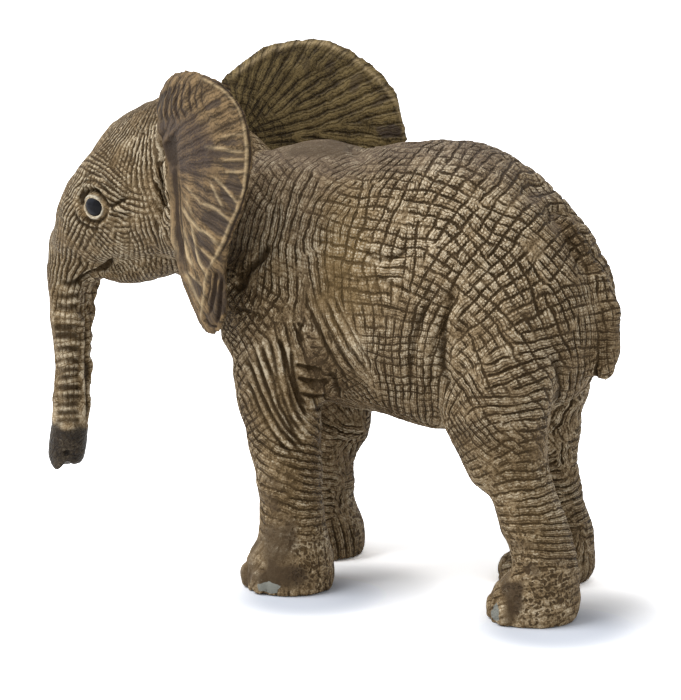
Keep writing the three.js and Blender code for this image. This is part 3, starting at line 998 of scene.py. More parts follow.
class Creases:
    """Crease lines grown over a skin from many short, overlapping waves.

    Attributes:
        overlap: how many waves meet at a point.
        across: a wave's reach square to its lines, as a share of their spacing.
        along: its reach along its lines, as a share of their spacing.
        loose: how far a wave's phase strays from its neighbours', in radians.
        rounds: how often the waves fall into step with their neighbours.
        heed: the share of the waves that fall into step in one round.
        cell: the size of the cubes that the skin's points are sorted into, in millimetres.
        seed_cell: the same for the middles of the waves.
        faint: the pull below which a neighbour isn't felt.
    """

    overlap = 7.0
    across = 0.9
    along = 1.9
    loose = 0.26
    rounds = 60
    heed = 0.6
    cell = 1.6
    seed_cell = 3.0
    faint = 0.02

    def __init__(self, surface: Surface, seed: int) -> None:
        """Keeps the skin's points and normals, and the seed of every random choice."""
        self.points = surface.points
        self.normals = surface.normals()
        self.area = surface.area()
        self.rng = np.random.default_rng(seed)

    def grow(self, heading: np.ndarray, gap: np.ndarray) -> tuple[np.ndarray, np.ndarray]:
        """Grows one set of lines over the skin.

        Args:
            heading: the direction at each vertex that is square to the lines there.
            gap: the spacing of the lines at each vertex, in millimetres.
        Returns:
            The wave at each vertex as a complex number of size one, and how sure it is, up to 1.
        """
        crowd = 1 / gap**2
        count = int(self.overlap * self.area * crowd.mean() / (2 * np.pi * self.across * self.along))
        picks = self.rng.choice(len(self.points), count, replace=False, p=crowd / crowd.sum())
        self.seeds, self.facing = self.points[picks], self.normals[picks]
        self.heading, self.gap = heading[picks], gap[picks]
        phase = self.in_step(count) + self.rng.normal(0, self.loose, count)
        cells = Cells(self.points, self.cell)
        total = np.zeros(len(self.points), complex)
        weight = np.full(len(self.points), 1e-9)
        for wave in range(count):
            near = cells.near(self.seeds[wave], 2.1 * self.along * self.gap[wave])
            pull, turn = self.felt(wave, self.points[near], self.normals[near])
            total[near] += pull * np.exp(1j * (turn + phase[wave]))
            weight[near] += pull
        size = np.abs(total)
        return total / np.maximum(size, 1e-9), smoothstep(0.05, 0.32, size / weight)

    def felt(self, wave: int, points: np.ndarray, normals: np.ndarray) -> tuple[np.ndarray, np.ndarray]:
        """How strongly one wave is felt at some points, and how far its phase has run there."""
        away = points - self.seeds[wave]
        run = away @ self.heading[wave]
        aside = (away**2).sum(axis=1) - run**2
        gap = self.gap[wave]
        pull = np.exp(-0.5 * ((run / (self.across * gap)) ** 2 + aside / (self.along * gap) ** 2))
        return pull * np.clip(normals @ self.facing[wave], 0, 1), 2 * np.pi * run / gap

    def in_step(self, count: int) -> np.ndarray:
        """A phase for each wave, such that neighbouring waves agree where they can."""
        cells = Cells(self.seeds, self.seed_cell)
        felt_by, felt_from, pulls, turns = [], [], [], []
        for wave in range(count):
            near = cells.near(self.seeds[wave], 1.8 * self.along * self.gap[wave])
            pull, turn = self.felt(wave, self.seeds[near], self.facing[near])
            felt = pull > self.faint
            felt_by.append(near[felt])
            felt_from.append(np.full(felt.sum(), wave))
            pulls.append(pull[felt])
            turns.append(turn[felt])
        felt_by, felt_from = np.concatenate(felt_by), np.concatenate(felt_from)
        link = np.concatenate(pulls) * np.exp(1j * np.concatenate(turns))
        phase = self.rng.uniform(0, 2 * np.pi, count)
        for _ in range(self.rounds):
            push = link * np.exp(1j * phase[felt_from])
            real = np.bincount(felt_by, push.real, count)
            imaginary = np.bincount(felt_by, push.imag, count)
            chosen = self.rng.random(count) < self.heed
            phase = np.where(chosen, np.arctan2(imaginary, real), phase)
        return phase


def square_to(camera: PhotoCamera, turns: np.ndarray, normals: np.ndarray) -> np.ndarray:
    """The direction on the skin that is square to lines seen at an angle on the picture.

    Args:
        camera: the photo camera.
        turns: the angle of the lines at each vertex, in degrees up from level.
        normals: the outward direction at each vertex.
    Returns:
        A unit vector along the skin for each vertex.
    """
    edge_on, open_view = 0.2, 0.5
    right, up, back = camera.axes()
    turn = np.radians(turns)[:, None]
    line = np.cos(turn) * right + np.sin(turn) * up
    lift = (line * normals).sum(axis=1, keepdims=True)
    facing = (normals @ back)[:, None]
    slide = smoothstep(edge_on, open_view, facing)
    line = line - lift * ((1 - slide) * normals + slide * back / np.maximum(facing, edge_on))
    return unit(np.cross(line, normals))


@dataclass(frozen=True)
class Pull:
    """A soft shift of everything that lies round one pixel of the picture.

    Attributes:
        spot: the pixel.
        shift: how far to the right and how far down, in pixels.
        reach: how far from the spot it is felt, in pixels.
    """

    spot: tuple[float, float]
    shift: tuple[float, float]
    reach: float = 13.0


def pulled(
    camera: PhotoCamera, points: np.ndarray, pixels: np.ndarray, pulls: tuple[Pull, ...]
) -> np.ndarray:
    """The move that a set of pulls asks of each point, level and upright only."""
    total = np.zeros((len(points), 2))
    weight = np.zeros(len(points))
    for pull in pulls:
        felt = bell(np.linalg.norm(pixels - np.array(pull.spot), axis=1), pull.reach)
        total += felt[:, None] * np.array(pull.shift)
        weight += felt
    total /= np.maximum(weight, 1.0)[:, None]
    right, up = camera.axes()[:2]
    scale = camera.distance / camera.focal
    across, rise = total[:, 0] * scale / right[0], -total[:, 1] * scale / up[2]
    return np.stack([across, across * 0, rise], axis=1)


EYE_SPOT = Spot((93.7, 207.6), (9.3, 8.2), 58)

NEAR_PULLS = (
    # front of the foreleg and its foot
    Pull((231, 358), (6, 0)),
    Pull((238, 390), (4, 0)),
    Pull((246, 428), (4.5, 0)),
    Pull((254, 465), (4.5, 0)),
    Pull((257, 500), (4.5, 0)),
    Pull((256, 532), (6, 0)),
    Pull((244, 556), (6, 0)),
    Pull((238, 576), (4, 0)),
    # front of the hind leg and its foot
    Pull((448, 438), (4, 0)),
    Pull((458, 460), (3, 0)),
    Pull((474, 480), (1.5, 0)),
    Pull((488, 498), (5, 0)),
    Pull((497, 522), (5, 0)),
    Pull((501, 545), (9, 0)),
    Pull((496, 566), (18, 0)),
    Pull((487, 584), (9, 0)),
    Pull((482, 604), (4, 0)),
    # back and rump
    Pull((440, 142), (0, 1)),
    Pull((480, 145), (0, 4)),
    Pull((515, 160), (-2, 5)),
    Pull((541, 182), (-8, 8)),
    Pull((567, 208), (-12, 9)),
    Pull((590, 234), (-14, 7)),
    Pull((604, 258), (-17, 5)),
    Pull((614, 286), (-8, 1.5)),
    Pull((620, 328), (-2.5, 0)),
    Pull((605, 386), (0, -6), 9.0),
    Pull((615, 370), (-3, -1), 9.0),
    # jaw, crown and brow
    Pull((108, 278), (-9, 3), 9.0),
    Pull((124, 284), (0, 2)),
    Pull((138, 286), (0, -5)),
    Pull((152, 286), (0, -12)),
    Pull((168, 285), (0, -16)),
    Pull((110, 126), (-2, -3)),
    Pull((148, 102), (0, 1)),
    Pull((128, 112), (0, -2)),
    Pull((76, 178), (-2.5, 0)),
    # rear of the trunk, its tip, belly and chest
    Pull((100, 292), (-14, 0), 9.0),
    Pull((97, 312), (-14, 0), 9.0),
    Pull((95, 335), (-9, 0), 9.0),
    Pull((94, 356), (-9, 0), 9.0),
    Pull((92, 392), (-4, 0), 9.0),
    Pull((93, 380), (-3.5, 0), 9.0),
    Pull((48, 320), (-1.5, 0), 9.0),
    Pull((51, 370), (2.5, 0), 9.0),
    Pull((51, 420), (1.5, 0), 9.0),
    Pull((50, 456), (-1, 1), 9.0),
    Pull((86, 452), (1, 1), 9.0),
    Pull((408, 418), (0, 3)),
    Pull((435, 428), (0, 7)),
    Pull((232, 272), (-18, 0), 11.0),
    Pull((229, 290), (-14, 0), 11.0),
    Pull((226, 312), (-7, 0)),
    Pull((225, 336), (-6, 0), 9.0),
)

FAR_PULLS = (
    Pull((366, 428), (7, 0)),
    Pull((373, 413), (10, 0)),
    Pull((355, 465), (-8, 0)),
    Pull((355, 500), (-9, 0)),
    Pull((361, 522), (-1, 0)),
    Pull((580, 395), (5, 0)),
    Pull((577, 430), (4, 0)),
    Pull((579, 470), (-6, 0)),
    Pull((584, 500), (-5, 0)),
    Pull((592, 545), (2, 0)),
    Pull((596, 568), (6, 0)),
)

NEAR_EAR_PULLS = (
    # front edge, from the ear hole down to the lobe
    Pull((156, 150), (8, 0)),
    Pull((157, 175), (12, 0)),
    Pull((158, 200), (13, 0)),
    Pull((161, 225), (12, 0)),
    Pull((168, 250), (9, 0)),
    Pull((177, 275), (6, 0)),
    Pull((187, 297), (4, 0)),
    Pull((197, 318), (2, 1)),
    # top
    Pull((164, 86), (0, 0)),
    Pull((176, 70), (5, 5)),
    Pull((190, 70), (1, 2)),
    Pull((206, 78), (2, 1)),
    Pull((219, 88), (3, -5)),
    Pull((234, 101), (3, -2)),
    # rear edge and lobe
    Pull((257, 143), (-5, 0)),
    Pull((257, 165), (-4, 0)),
    Pull((252, 186), (-1, 0)),
    Pull((238, 218), (4, 0)),
    Pull((225, 240), (7, 0)),
    Pull((215, 262), (7, 0)),
    Pull((220, 290), (5, 0)),
    Pull((220, 312), (5, 1)),
    Pull((211, 331), (1, 4)),
)

FAR_EAR_PULLS = (
    Pull((232, 74), (-5, -4)),
    Pull((248, 62), (-2, -3)),
    Pull((262, 54), (-1.5, -3)),
    Pull((330, 44), (0, -1)),
    Pull((352, 54), (-1, 2)),
    Pull((380, 78), (-2, 1.5)),
    Pull((398, 102), (1, 1)),
    Pull((402, 118), (7, 0), 9.0),
    Pull((400, 138), (18, 10), 9.0),
)

STROKES = (
    # neck, shoulder and nape
    Stroke(((231, 295), (241, 285), (245, 271), (260, 257), (268, 240)), 4.5, 0.8, 0.7),
    Stroke(((350, 142), (357, 152), (363, 162)), 5.0, 0.6),
    Stroke(((256, 182), (270, 200), (276, 225), (268, 246)), 3.5, 0.35),
    Stroke(((290, 190), (294, 215), (288, 245), (280, 270)), 3.5, 0.3),
    Stroke(((306, 200), (310, 230), (304, 262), (308, 296)), 3.0, 0.28),
    Stroke(((322, 268), (330, 296), (342, 322), (356, 350), (372, 376)), 3.0, 0.3),
    Stroke(((231, 309), (250, 311), (266, 318)), 2.2, 0.3, 0.4),
    Stroke(((296, 322), (301, 326), (299, 333), (303, 344)), 1.7, 0.4, 0.8),
    Stroke(((326, 374), (332, 378), (335, 388), (341, 396)), 2.6, 0.55, 0.8),
    # flank, belly and thigh
    Stroke(((314, 250), (357, 265), (407, 269), (461, 264), (501, 250), (536, 232)), 1.1, 0.1, 0.3),
    Stroke(((362, 246), (370, 256), (381, 260), (397, 256), (408, 247)), 2.2, 0.4, 0.5),
    Stroke(((325, 272), (338, 277), (354, 281), (381, 279), (402, 288), (418, 296)), 2.0, 0.3, 0.4),
    Stroke(((457, 275), (449, 302), (443, 323), (441, 347), (442, 377), (450, 402)), 4.5, 0.7, 0.45),
    Stroke(((434, 285), (426, 304), (418, 323), (413, 342), (409, 368), (410, 393)), 3.6, 0.55, 0.45),
    Stroke(((446, 312), (434, 340), (430, 366), (430, 390)), 2.6, 0.3, 0.3),
    Stroke(((466, 290), (480, 284), (497, 283)), 3.0, -0.25),
    Stroke(((529, 349), (545, 356), (553, 366), (557, 380)), 2.0, -0.25),
    Stroke(((553, 350), (560, 372), (561, 392), (556, 420), (553, 446)), 4.0, 0.5, 0.5),
    Stroke(((462, 300), (455, 330), (455, 362), (458, 396)), 3.0, -0.25),
    # where the cheek swells up to the ear
    Stroke(((158, 118), (162, 145), (165, 175), (166, 205), (169, 232), (175, 256)), 6.0, -1.0),
    # mouth, cheek and jaw
    Stroke(((115, 259), (108, 264), (99, 271), (89, 274), (82, 280), (79, 288)), 2.4, 0.75, 0.95),
    Stroke(((113, 256), (103, 264), (94, 269), (85, 273), (80, 277)), 1.3, -0.22),
    Stroke(((68, 246), (73, 255), (80, 263), (86, 269)), 1.5, 0.16, 0.4),
    Stroke(((81, 245), (89, 254), (98, 262)), 1.4, 0.14, 0.4),
    Stroke(((74, 250), (80, 258), (90, 266)), 1.2, 0.12, 0.3),
    Stroke(((116, 218), (115, 230), (115, 241)), 1.3, 0.15, 0.4),
    Stroke(((101, 226), (106, 228), (113, 228)), 1.2, 0.15, 0.4),
    Stroke(((114, 213), (124, 213), (133, 214)), 1.1, 0.14, 0.4),
    Stroke(((115, 218), (124, 218), (134, 219)), 1.1, 0.14, 0.4),
    Stroke(((113, 206), (119, 202), (127, 198)), 1.2, 0.18, 0.5),
    Stroke(((114, 205), (120, 200), (126, 197)), 1.0, -0.1),
    Stroke(((96, 165), (110, 178), (118, 187), (126, 197)), 1.3, 0.14, 0.4),
    Stroke(((107, 160), (117, 172), (126, 184), (132, 196)), 1.2, 0.13, 0.4),
    Stroke(((77, 190), (83, 178), (92, 169)), 1.3, 0.14, 0.4),
    # brow and lids
    Stroke(
        ((80, 201), (80.5, 193), (85, 187), (92, 185.5), (99, 189), (106, 196.5), (113, 204)), 1.6, -0.34
    ),
    Stroke(((80.7, 206), (81.2, 198), (84.7, 191), (92, 189.2), (98, 191.2)), 2.2, 0.8, 1.2),
    Stroke(((94, 189.8), (98.5, 192), (103, 197), (107.5, 203.2)), 2.0, 0.7, 1.2),
    Stroke(((104, 201), (108, 206), (113, 205.5), (119, 202), (126, 198)), 1.8, 0.3, 0.9),
    Stroke(((77.5, 207), (80.5, 215), (87, 223)), 1.7, -0.34),
    Stroke(((100, 226), (107, 221.5), (111.3, 211.5), (115, 209.5), (128, 212)), 1.7, -0.36),
    Stroke(((84, 216), (90, 221), (98, 222.5), (105, 217), (107.5, 210)), 1.5, 0.3, 0.8),
    Stroke(((74, 212), (79, 222), (88, 228), (100, 230)), 1.5, 0.22, 0.7),
    Stroke(((78, 186), (86, 180), (96, 181), (106, 188), (113, 197)), 1.4, 0.2, 0.7),
    Stroke(((82, 177), (92, 173), (103, 177), (113, 186), (121, 196)), 1.4, 0.18, 0.6),
    # trunk
    Stroke(((82, 283), (82.5, 320), (82.5, 360), (84, 400), (85.5, 424)), 1.5, -0.34),
    Stroke(((52, 284), (53, 310), (56, 340)), 1.2, -0.2),
    Stroke(((86.5, 284), (87, 320), (87, 360), (87.5, 400), (88, 424)), 1.6, 0.34, 0.85),
)

LIDS = (
    Stroke(((84, 203), (85, 198), (89.5, 195.6), (95, 196.4), (100, 200)), 1.0, -0.2, 0.85),
    Stroke(((88, 215.5), (92, 218.2), (96.5, 218.4), (101.5, 214.6), (103.6, 208)), 0.75, -0.12, 0.85),
)

LEG_FOLDS = (
    # the shoulder's long hanging folds
    Stroke(((275.5, 335), (284, 353), (291.5, 380), (299, 401), (311, 421)), 2.0, 0.55, 0.85),
    Stroke(((280, 334), (283, 359), (286, 376), (291.5, 399), (299, 417), (311, 431)), 1.8, 0.4, 0.7),
    Stroke(((267, 335), (274, 359), (277, 376), (283, 399), (293, 421), (306, 437)), 2.0, 0.5, 0.8),
    Stroke(((259, 339), (265, 359), (274, 382), (279, 405), (290, 424), (300, 440)), 1.9, 0.45, 0.75),
    Stroke(((251, 344), (258, 364), (265, 384), (274, 407), (286, 428), (311, 451)), 2.0, 0.5, 0.8),
    Stroke(((243, 351), (251, 371), (259, 392), (270, 414), (281, 431), (307, 456)), 1.8, 0.45, 0.75),
    Stroke(((243, 375), (251, 392), (259, 412), (270, 431), (283, 447), (295, 456)), 1.8, 0.45, 0.75),
    Stroke(((291, 348), (293, 366), (295, 380), (300, 396), (308, 408)), 1.9, 0.5, 0.85),
    Stroke(((295, 365), (311, 369), (322, 372)), 1.7, 0.5, 0.8),
    Stroke(((297, 378), (311, 382), (327, 383)), 1.8, 0.55, 0.85),
    Stroke(((300, 394), (315, 397), (328, 395)), 1.7, 0.45, 0.75),
    Stroke(((307, 411), (318, 410), (326, 406)), 1.5, 0.35, 0.65),
    # their pale crests
    Stroke(((278, 345), (284, 367), (289, 390), (296, 409), (305, 425)), 1.7, -0.25),
    Stroke(((270, 345), (277, 370), (283, 392), (290, 410), (300, 428)), 1.7, -0.25),
    Stroke(((255, 345), (263, 370), (272, 394), (281, 414), (294, 433)), 1.7, -0.2),
    Stroke(((298, 372), (311, 375), (323, 378)), 2.4, -0.3),
    Stroke(((300, 387), (313, 390), (328, 389)), 2.2, -0.3),
    # armpit and the folds that run down from it
    Stroke(((306, 302), (314, 322), (324, 344), (336, 366), (348, 382)), 2.0, 0.45, 0.7),
    Stroke(((313, 296), (322, 318), (333, 340), (346, 362), (358, 380)), 1.6, 0.35, 0.6),
    Stroke(((322, 292), (332, 318), (345, 342), (358, 362), (372, 382)), 1.6, 0.35, 0.6),
    Stroke(((333, 296), (342, 318), (354, 340), (368, 362), (384, 384)), 1.4, 0.28, 0.5),
)

RINGS = tuple(
    Stroke(((50 + lean, row), (66, row + sag), (83, row)), 3.4, 0.42, 0.62)
    for row, lean, sag in (
        (282, 8, 3), (295, 6, 3), (306, 4, 3), (327, 2, 1), (336, 2, 0), (350, 2, -1), (361, 3, 0),
        (371, 3, -1), (377, 3, 1), (388, 3, 0), (397, 3, 1), (405, 3, 0), (413, 3, 1), (421, 2, 0),
    )
)
SCALLOPS = tuple(
    Stroke(((88, row), (93, row + 1), (98, row)), 1.7, 0.5, 0.8) for row in range(295, 430, 11)
)

TRUNK_TIP = (
    Stroke(((60, 424), (72, 426), (86, 425)), 1.8, 0.2, 0.3),
    Stroke(((67, 450), (67, 456)), 2.2, 0.45, 0.9),
)

SMOOTH_SPOTS = (
    Spot((278, 548), (28, 20), 100, 0.9, 0.4),
    Spot((258, 574), (22, 14), 0, 0.8, 0.5),
    Spot((282, 578), (26, 13), 4, 0.9, 0.4),
    Spot((254, 552), (10, 12), 0, 0.5, 0.5),
    Spot((268, 500), (12, 5), 38, 0.6, 0.5),
    Spot((270, 480), (12, 5), 30, 0.5, 0.5),
    Spot((520, 545), (14, 5), 10, 0.5, 0.5),
    Spot((514, 599), (9.5, 21), 8, 1.0, 0.35),
    Spot((504, 577), (8, 10), 0, 0.8, 0.4),
    Spot((531, 569), (9, 6), 30, 0.7),
    Spot((556, 560), (9, 5), 10, 0.5),
    Spot((322, 148), (40, 9), -4, 0.8),
    Spot((160, 150), (9, 26), 8, 0.5),
)

# pale worn paint on the near toenails, and a small pale speck at the trunk's tip
CHIP_AND_SPECK_SPOTS = (
    Spot((269, 588), (12.5, 5), 8, 1.0, 0.2),
    Spot((54.5, 466), (1.7, 1.7), 0, 1.0, 0.3),
    Spot((497, 612), (5.5, 9.5), 14, 1.0, 0.2),
)

# Lighter and darker patches of paint: painted highlights on the upper flank, back and rump; painted shade
# in the armpit, under the ear, and on the neck, belly, foreleg, lower feet and the rear edges of rump and
# thigh; and some of the paint's own tone on head, trunk and thigh.
LIGHT_SHADE_AND_TONE_SPOTS = (
    Spot((425, 215), (90, 60), 10, 0.19, 0.6),
    Spot((510, 225), (60, 60), 30, 0.2, 0.6),
    Spot((470, 180), (60, 30), 20, 0.15, 0.6),
    Spot((500, 370), (45, 50), 0, 0.12, 0.6),
    Spot((400, 400), (80, 20), 10, -0.08, 0.6),
    Spot((275, 225), (36, 70), 0, -0.06, 0.6),
    Spot((330, 365), (20, 40), -15, -0.6, 0.6),
    Spot((236, 290), (16, 44), 0, -0.6, 0.6),
    Spot((100, 240), (26, 26), 0, 0.1, 0.6),
    Spot((70, 330), (22, 60), 0, 0.2, 0.6),
    Spot((578, 225), (20, 75), -38, -0.5, 0.5),
    Spot((110, 200), (76, 86), 0, -0.08, 0.4),
    Spot((285, 420), (50, 110), 0, -0.28, 0.6),
    Spot((300, 590), (50, 34), 0, -0.2, 0.6),
    Spot((540, 590), (50, 40), 0, -0.25, 0.6),
    Spot((565, 380), (12, 60), 0, -0.3, 0.6),
)

FOLD_SPOTS = (
    Spot((280, 388), (34, 58), -14, 1.0, 0.25),
    Spot((338, 340), (20, 42), -28, 0.6, 0.3),
)

FINE_SPOTS = (
    Spot((110, 200), (76, 86), 0, 1.0, 0.35),
    Spot((70, 330), (26, 60), 0, 0.4, 0.4),
    Spot((290, 400), (50, 80), 0, 0.3, 0.5),
)

KNOB_SPOTS = (
    Spot((316, 560), (24, 34), 0, 0.9, 0.4),
    Spot((545, 595), (34, 36), 0, 1.0, 0.4),
    Spot((520, 555), (30, 26), 0, 0.5, 0.5),
    Spot((250, 314), (28, 12), 10, 0.9, 0.5),
    Spot((360, 530), (12, 26), 0, 0.7, 0.5),
    Spot((590, 560), (14, 30), 0, 0.6, 0.5),
    Spot((295, 490), (46, 56), 0, 0.45, 0.6),
    Spot((518, 490), (50, 60), 0, 0.5, 0.6),
)

GOLD_SPOTS = (
    Spot((348, 285), (34, 44), 20, 1.0, 0.6),
    Spot((345, 225), (26, 40), 0, 0.8, 0.6),
    Spot((210, 105), (30, 22), 0, 0.7, 0.6),
    Spot((95, 215), (60, 70), 0, 0.35, 0.6),
    Spot((290, 470), (40, 90), 0, 0.4, 0.6),
    Spot((520, 500), (50, 60), 0, 0.4, 0.6),
    Spot((70, 350), (24, 80), 0, 0.45, 0.6),
)


@dataclass(frozen=True)
class Toes:
    """The nails round the front of every foot. Lengths are in millimetres, turns in degrees."""

    turns: tuple[float, ...] = (-62.0, -14.0, 32.0, 74.0)
    height: float = 1.7
    width: float = 1.5
    tall: float = 1.9
    swell: float = 0.28
    rim: float = 1.15
    groove: float = 0.7
    groove_width: float = 0.16
    low: float = 7.0

    def raised(self, points: np.ndarray, middle: tuple[float, float], side: int) -> np.ndarray:
        """How far each vertex of a foot rises for its nails, in millimetres."""
        x, y, z = points[:, 0] - middle[0], (points[:, 1] - middle[1]) * side, points[:, 2]
        turn = np.arctan2(y, -x)
        away = np.hypot(x, y)
        move = np.zeros(len(points))
        for nail in self.turns:
            along = (turn - math.radians(nail)) * away
            out = np.hypot(along / self.width, (z - self.height) / self.tall)
            move += self.swell * (1 - smoothstep(0.55, 0.95, out))
            move -= self.swell * self.groove * bell(out - self.rim, self.groove_width)
        return move * (z < self.low)


@dataclass
class Skin:
    """The calf's blended hide, sculpted as one and then cut at the joints between pieces.

    Lengths are in millimetres and the sway of the creases is in degrees. Pairs of heights and
    stations say where a part of the body begins and where it is complete.
    """

    camera: PhotoCamera
    grow: float = 0.17
    voxel: float = 0.5
    crease_depth: float = 0.22
    fold_depth: float = 0.36
    lumps: float = 0.05
    eye_reach: float = 3.2
    eye_hole: float = 1.0
    eye_rim: float = 0.14
    fore_top: float = 47.8
    hind_top: float = 44.3
    trunk_below: tuple[float, float] = (39.5, 35.5)
    trunk_before: tuple[float, float] = (-31.0, -32.5)
    tip_below: tuple[float, float] = (17.2, 16.2)
    neck_before: tuple[float, float] = (9.0, 0.0)
    sway: float = 9.0
    finger: tuple[float, float] = (58, 466)
    notch: tuple[float, float] = (67, 466)
    toes: Toes = field(default_factory=Toes)

    def build(self) -> list[bpy.types.Object]:
        """Sculpts the hide and returns its pieces."""
        names = [region.value for region in Region]
        coarse = moulded(names, self.grow, self.voxel, "hide")
        log.info("hide: %d coarse points", len(coarse.points))
        share = np.eye(len(names))[self.owners(coarse)]
        seam = 1 - relaxed(share, coarse.table, 5).max(axis=1)
        blend = smoothstep(0.02, 0.3, relaxed(seam, coarse.table, 4))
        firm = relaxed(coarse.points, coarse.table, 6, keep_volume=True)
        soft = relaxed(coarse.points, coarse.table, 20)
        coarse.move(firm + (soft - firm) * blend[:, None])
        self.pull(coarse, relaxed(share, coarse.table, 12))
        self.tree = coarse.tree()
        skin = refined(coarse, "hide")
        eye = self.under(EYE_SPOT.centre)[0]
        skin = sharpened(skin, [eye, eye * (1, -1, 1)], self.eye_reach)
        log.info("hide: %d points", len(skin.points))
        share = relaxed(np.eye(len(names))[self.owners(skin)], skin.table, 8)
        owner = share.argmax(axis=1)
        share = relaxed(share, skin.table, 24)
        self.carve(skin, owner, share)
        return self.cut(skin, owner)

    def pull(self, coarse: Surface, share: np.ndarray) -> None:
        """Brings the hide's outline to that of the picture."""
        points = coarse.points
        near = pulled(self.camera, points, self.camera.pixels(self.twin(points, share)), NEAR_PULLS)
        far = pulled(self.camera, points, self.camera.pixels(points), FAR_PULLS)
        regions = list(Region)
        legs = share[:, regions.index(Region.RIGHT_FORE)] + share[:, regions.index(Region.RIGHT_HIND)]
        moved = points + near + far * legs[:, None]
        moved[:, 2] = np.maximum(moved[:, 2], 0.0)
        coarse.move(moved)

    def under(self, pixel: tuple[float, float]) -> tuple[np.ndarray, np.ndarray]:
        """The point of the smooth hide under a pixel, and its outward direction."""
        spot, normal = self.tree.ray_cast(Vector(self.camera.place()), Vector(self.camera.ray(pixel)))[:2]
        return np.array(spot), np.array(normal)

    def owners(self, surface: Surface) -> np.ndarray:
        """The number of the CAD node nearest each vertex."""
        points, faces, owner = [], [], []
        for number, region in enumerate(Region):
            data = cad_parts[region.value].data
            start = len(points)
            points += [vert.co / MILLIMETRE for vert in data.vertices]
            faces += [tuple(start + v for v in poly.vertices) for poly in data.polygons]
            owner += [number] * len(data.polygons)
        tree = BVHTree.FromPolygons(points, faces)
        nearest = [tree.find_nearest(point)[2] for point in surface.points]
        return np.array(owner)[np.array(nearest)]

    def middle(self, region: Region) -> Vector:
        """The middle of a CAD leg's sole, in millimetres."""
        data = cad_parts[region.value].data
        low = [vert.co for vert in data.vertices if vert.co.z < 0.2 * MILLIMETRE]
        return sum(low, Vector()) / len(low) / MILLIMETRE

    def twin(self, points: np.ndarray, share: np.ndarray) -> np.ndarray:
        """Each point of the right side carried to the same place on the left side."""
        made = points.copy()
        for right, left, top in (
            (Region.RIGHT_FORE, Region.LEFT_FORE, self.fore_top),
            (Region.RIGHT_HIND, Region.LEFT_HIND, self.hind_top),
        ):
            stride = self.middle(left).x - self.middle(right).x
            number = list(Region).index(right)
            made[:, 0] += share[:, number] * stride * np.clip(1 - points[:, 2] / top, 0, 1)
        made[:, 1] = -np.abs(points[:, 1])
        return made

    def wrinkles(
        self, skin: Surface, pixels: np.ndarray, facing: np.ndarray, mirror: np.ndarray
    ) -> tuple[list[np.ndarray], list[np.ndarray], np.ndarray]:
        """Grows both sets of creases.

        Args:
            skin: the smooth hide.
            pixels: where each vertex falls on the picture.
            facing: its outward direction, mirrored to the near side.
            mirror: what mirrors a direction there.
        Returns:
            Each set's wave, how strong it is, and the spacing of both sets.
        """
        points = skin.points
        flow = FlowMap(FLOWS).at(pixels)
        sway = self.sway * Drift(3.5, 41).at(points)
        gaps = flow[:, 2:4] * (1 + 0.13 * Drift(4.5, 43).at(points))[:, None]
        creases = Creases(skin, seed=5)
        waves, amounts = [], []
        for number in range(2):
            heading = square_to(self.camera, flow[:, number] + sway, facing) * mirror
            wave, sure = creases.grow(heading, gaps[:, number])
            bend = 0.35 * Drift(1.3, 61 + number).at(points)
            waves.append(wave * np.exp(1j * bend))
            fade = 0.35 + 0.65 * smoothstep(-1.1, -0.1, Drift(2.0, 3 + number).at(points))
            amounts.append(flow[:, 4 + number] ** 1.5 * sure * fade)
        return waves, amounts, gaps

    def shape_tip(self, skin: Surface, pixels: np.ndarray, tip: np.ndarray) -> None:
        """Draws out the finger at the trunk's end and the notch behind it."""
        points = skin.points.copy()
        finger = bell(np.linalg.norm(pixels - self.finger, axis=1), 5.0) * tip
        notch = bell(np.linalg.norm(pixels - self.notch, axis=1), 3.0) * tip
        points[:, 2] += notch * 0.6 - finger * 0.8
        points[:, 0] -= finger * 0.3
        points[:, 2] = np.maximum(points[:, 2], 0.0)
        skin.move(points)

    def carve(self, skin: Surface, owner: np.ndarray, share: np.ndarray) -> None:
        """Cuts creases and folds into the skin and stores what the paint reads.

        Args:
            skin: the smooth hide.
            owner: the number of the region that each vertex belongs to.
            share: how much each region has of each vertex, with soft borders.
        """
        points = skin.points
        mirror = np.ones_like(points)
        mirror[points[:, 1] > 0, 1] = -1.0
        facing = skin.normals() * mirror
        sketch = Sketch(self.camera, self.twin(points, share), facing)
        regions = list(Region)
        head = share[:, regions.index(Region.HEAD)]
        body = share[:, regions.index(Region.TORSO)]
        trunk = head * smoothstep(*self.trunk_below, points[:, 2])
        trunk = trunk * smoothstep(*self.trunk_before, points[:, 0])
        tip = trunk * smoothstep(*self.tip_below, points[:, 2] + 0.4 * Drift(1.5, 2).at(points))
        neck = body * smoothstep(*self.neck_before, points[:, 0])
        (upright, around), amounts, gaps = self.wrinkles(skin, sketch.pixels, facing, mirror)
        # what keeps the creases away
        ragged = 0.25 * Drift(1.6, 8).at(points)
        bare = np.clip(sketch.spots(SMOOTH_SPOTS, ragged), 0, 1)
        chip_and_speck = np.clip(sketch.spots(CHIP_AND_SPECK_SPOTS, ragged * 1.1 + 0.15 * Drift(0.5, 71).at(points)), 0, 1)
        knobs = np.clip(sketch.spots(KNOB_SPOTS, ragged), 0, 1)
        eye = sketch.offset(EYE_SPOT)
        calm = 1 - np.clip(bare + tip, 0, 1) * 0.85
        calm *= smoothstep(1.2, 1.9, eye) * (1 - 0.8 * np.clip(sketch.spots(FOLD_SPOTS), 0, 1))
        calm *= 1 - 0.55 * knobs
        much_up, much_round = amounts[0] * calm, amounts[1] * calm
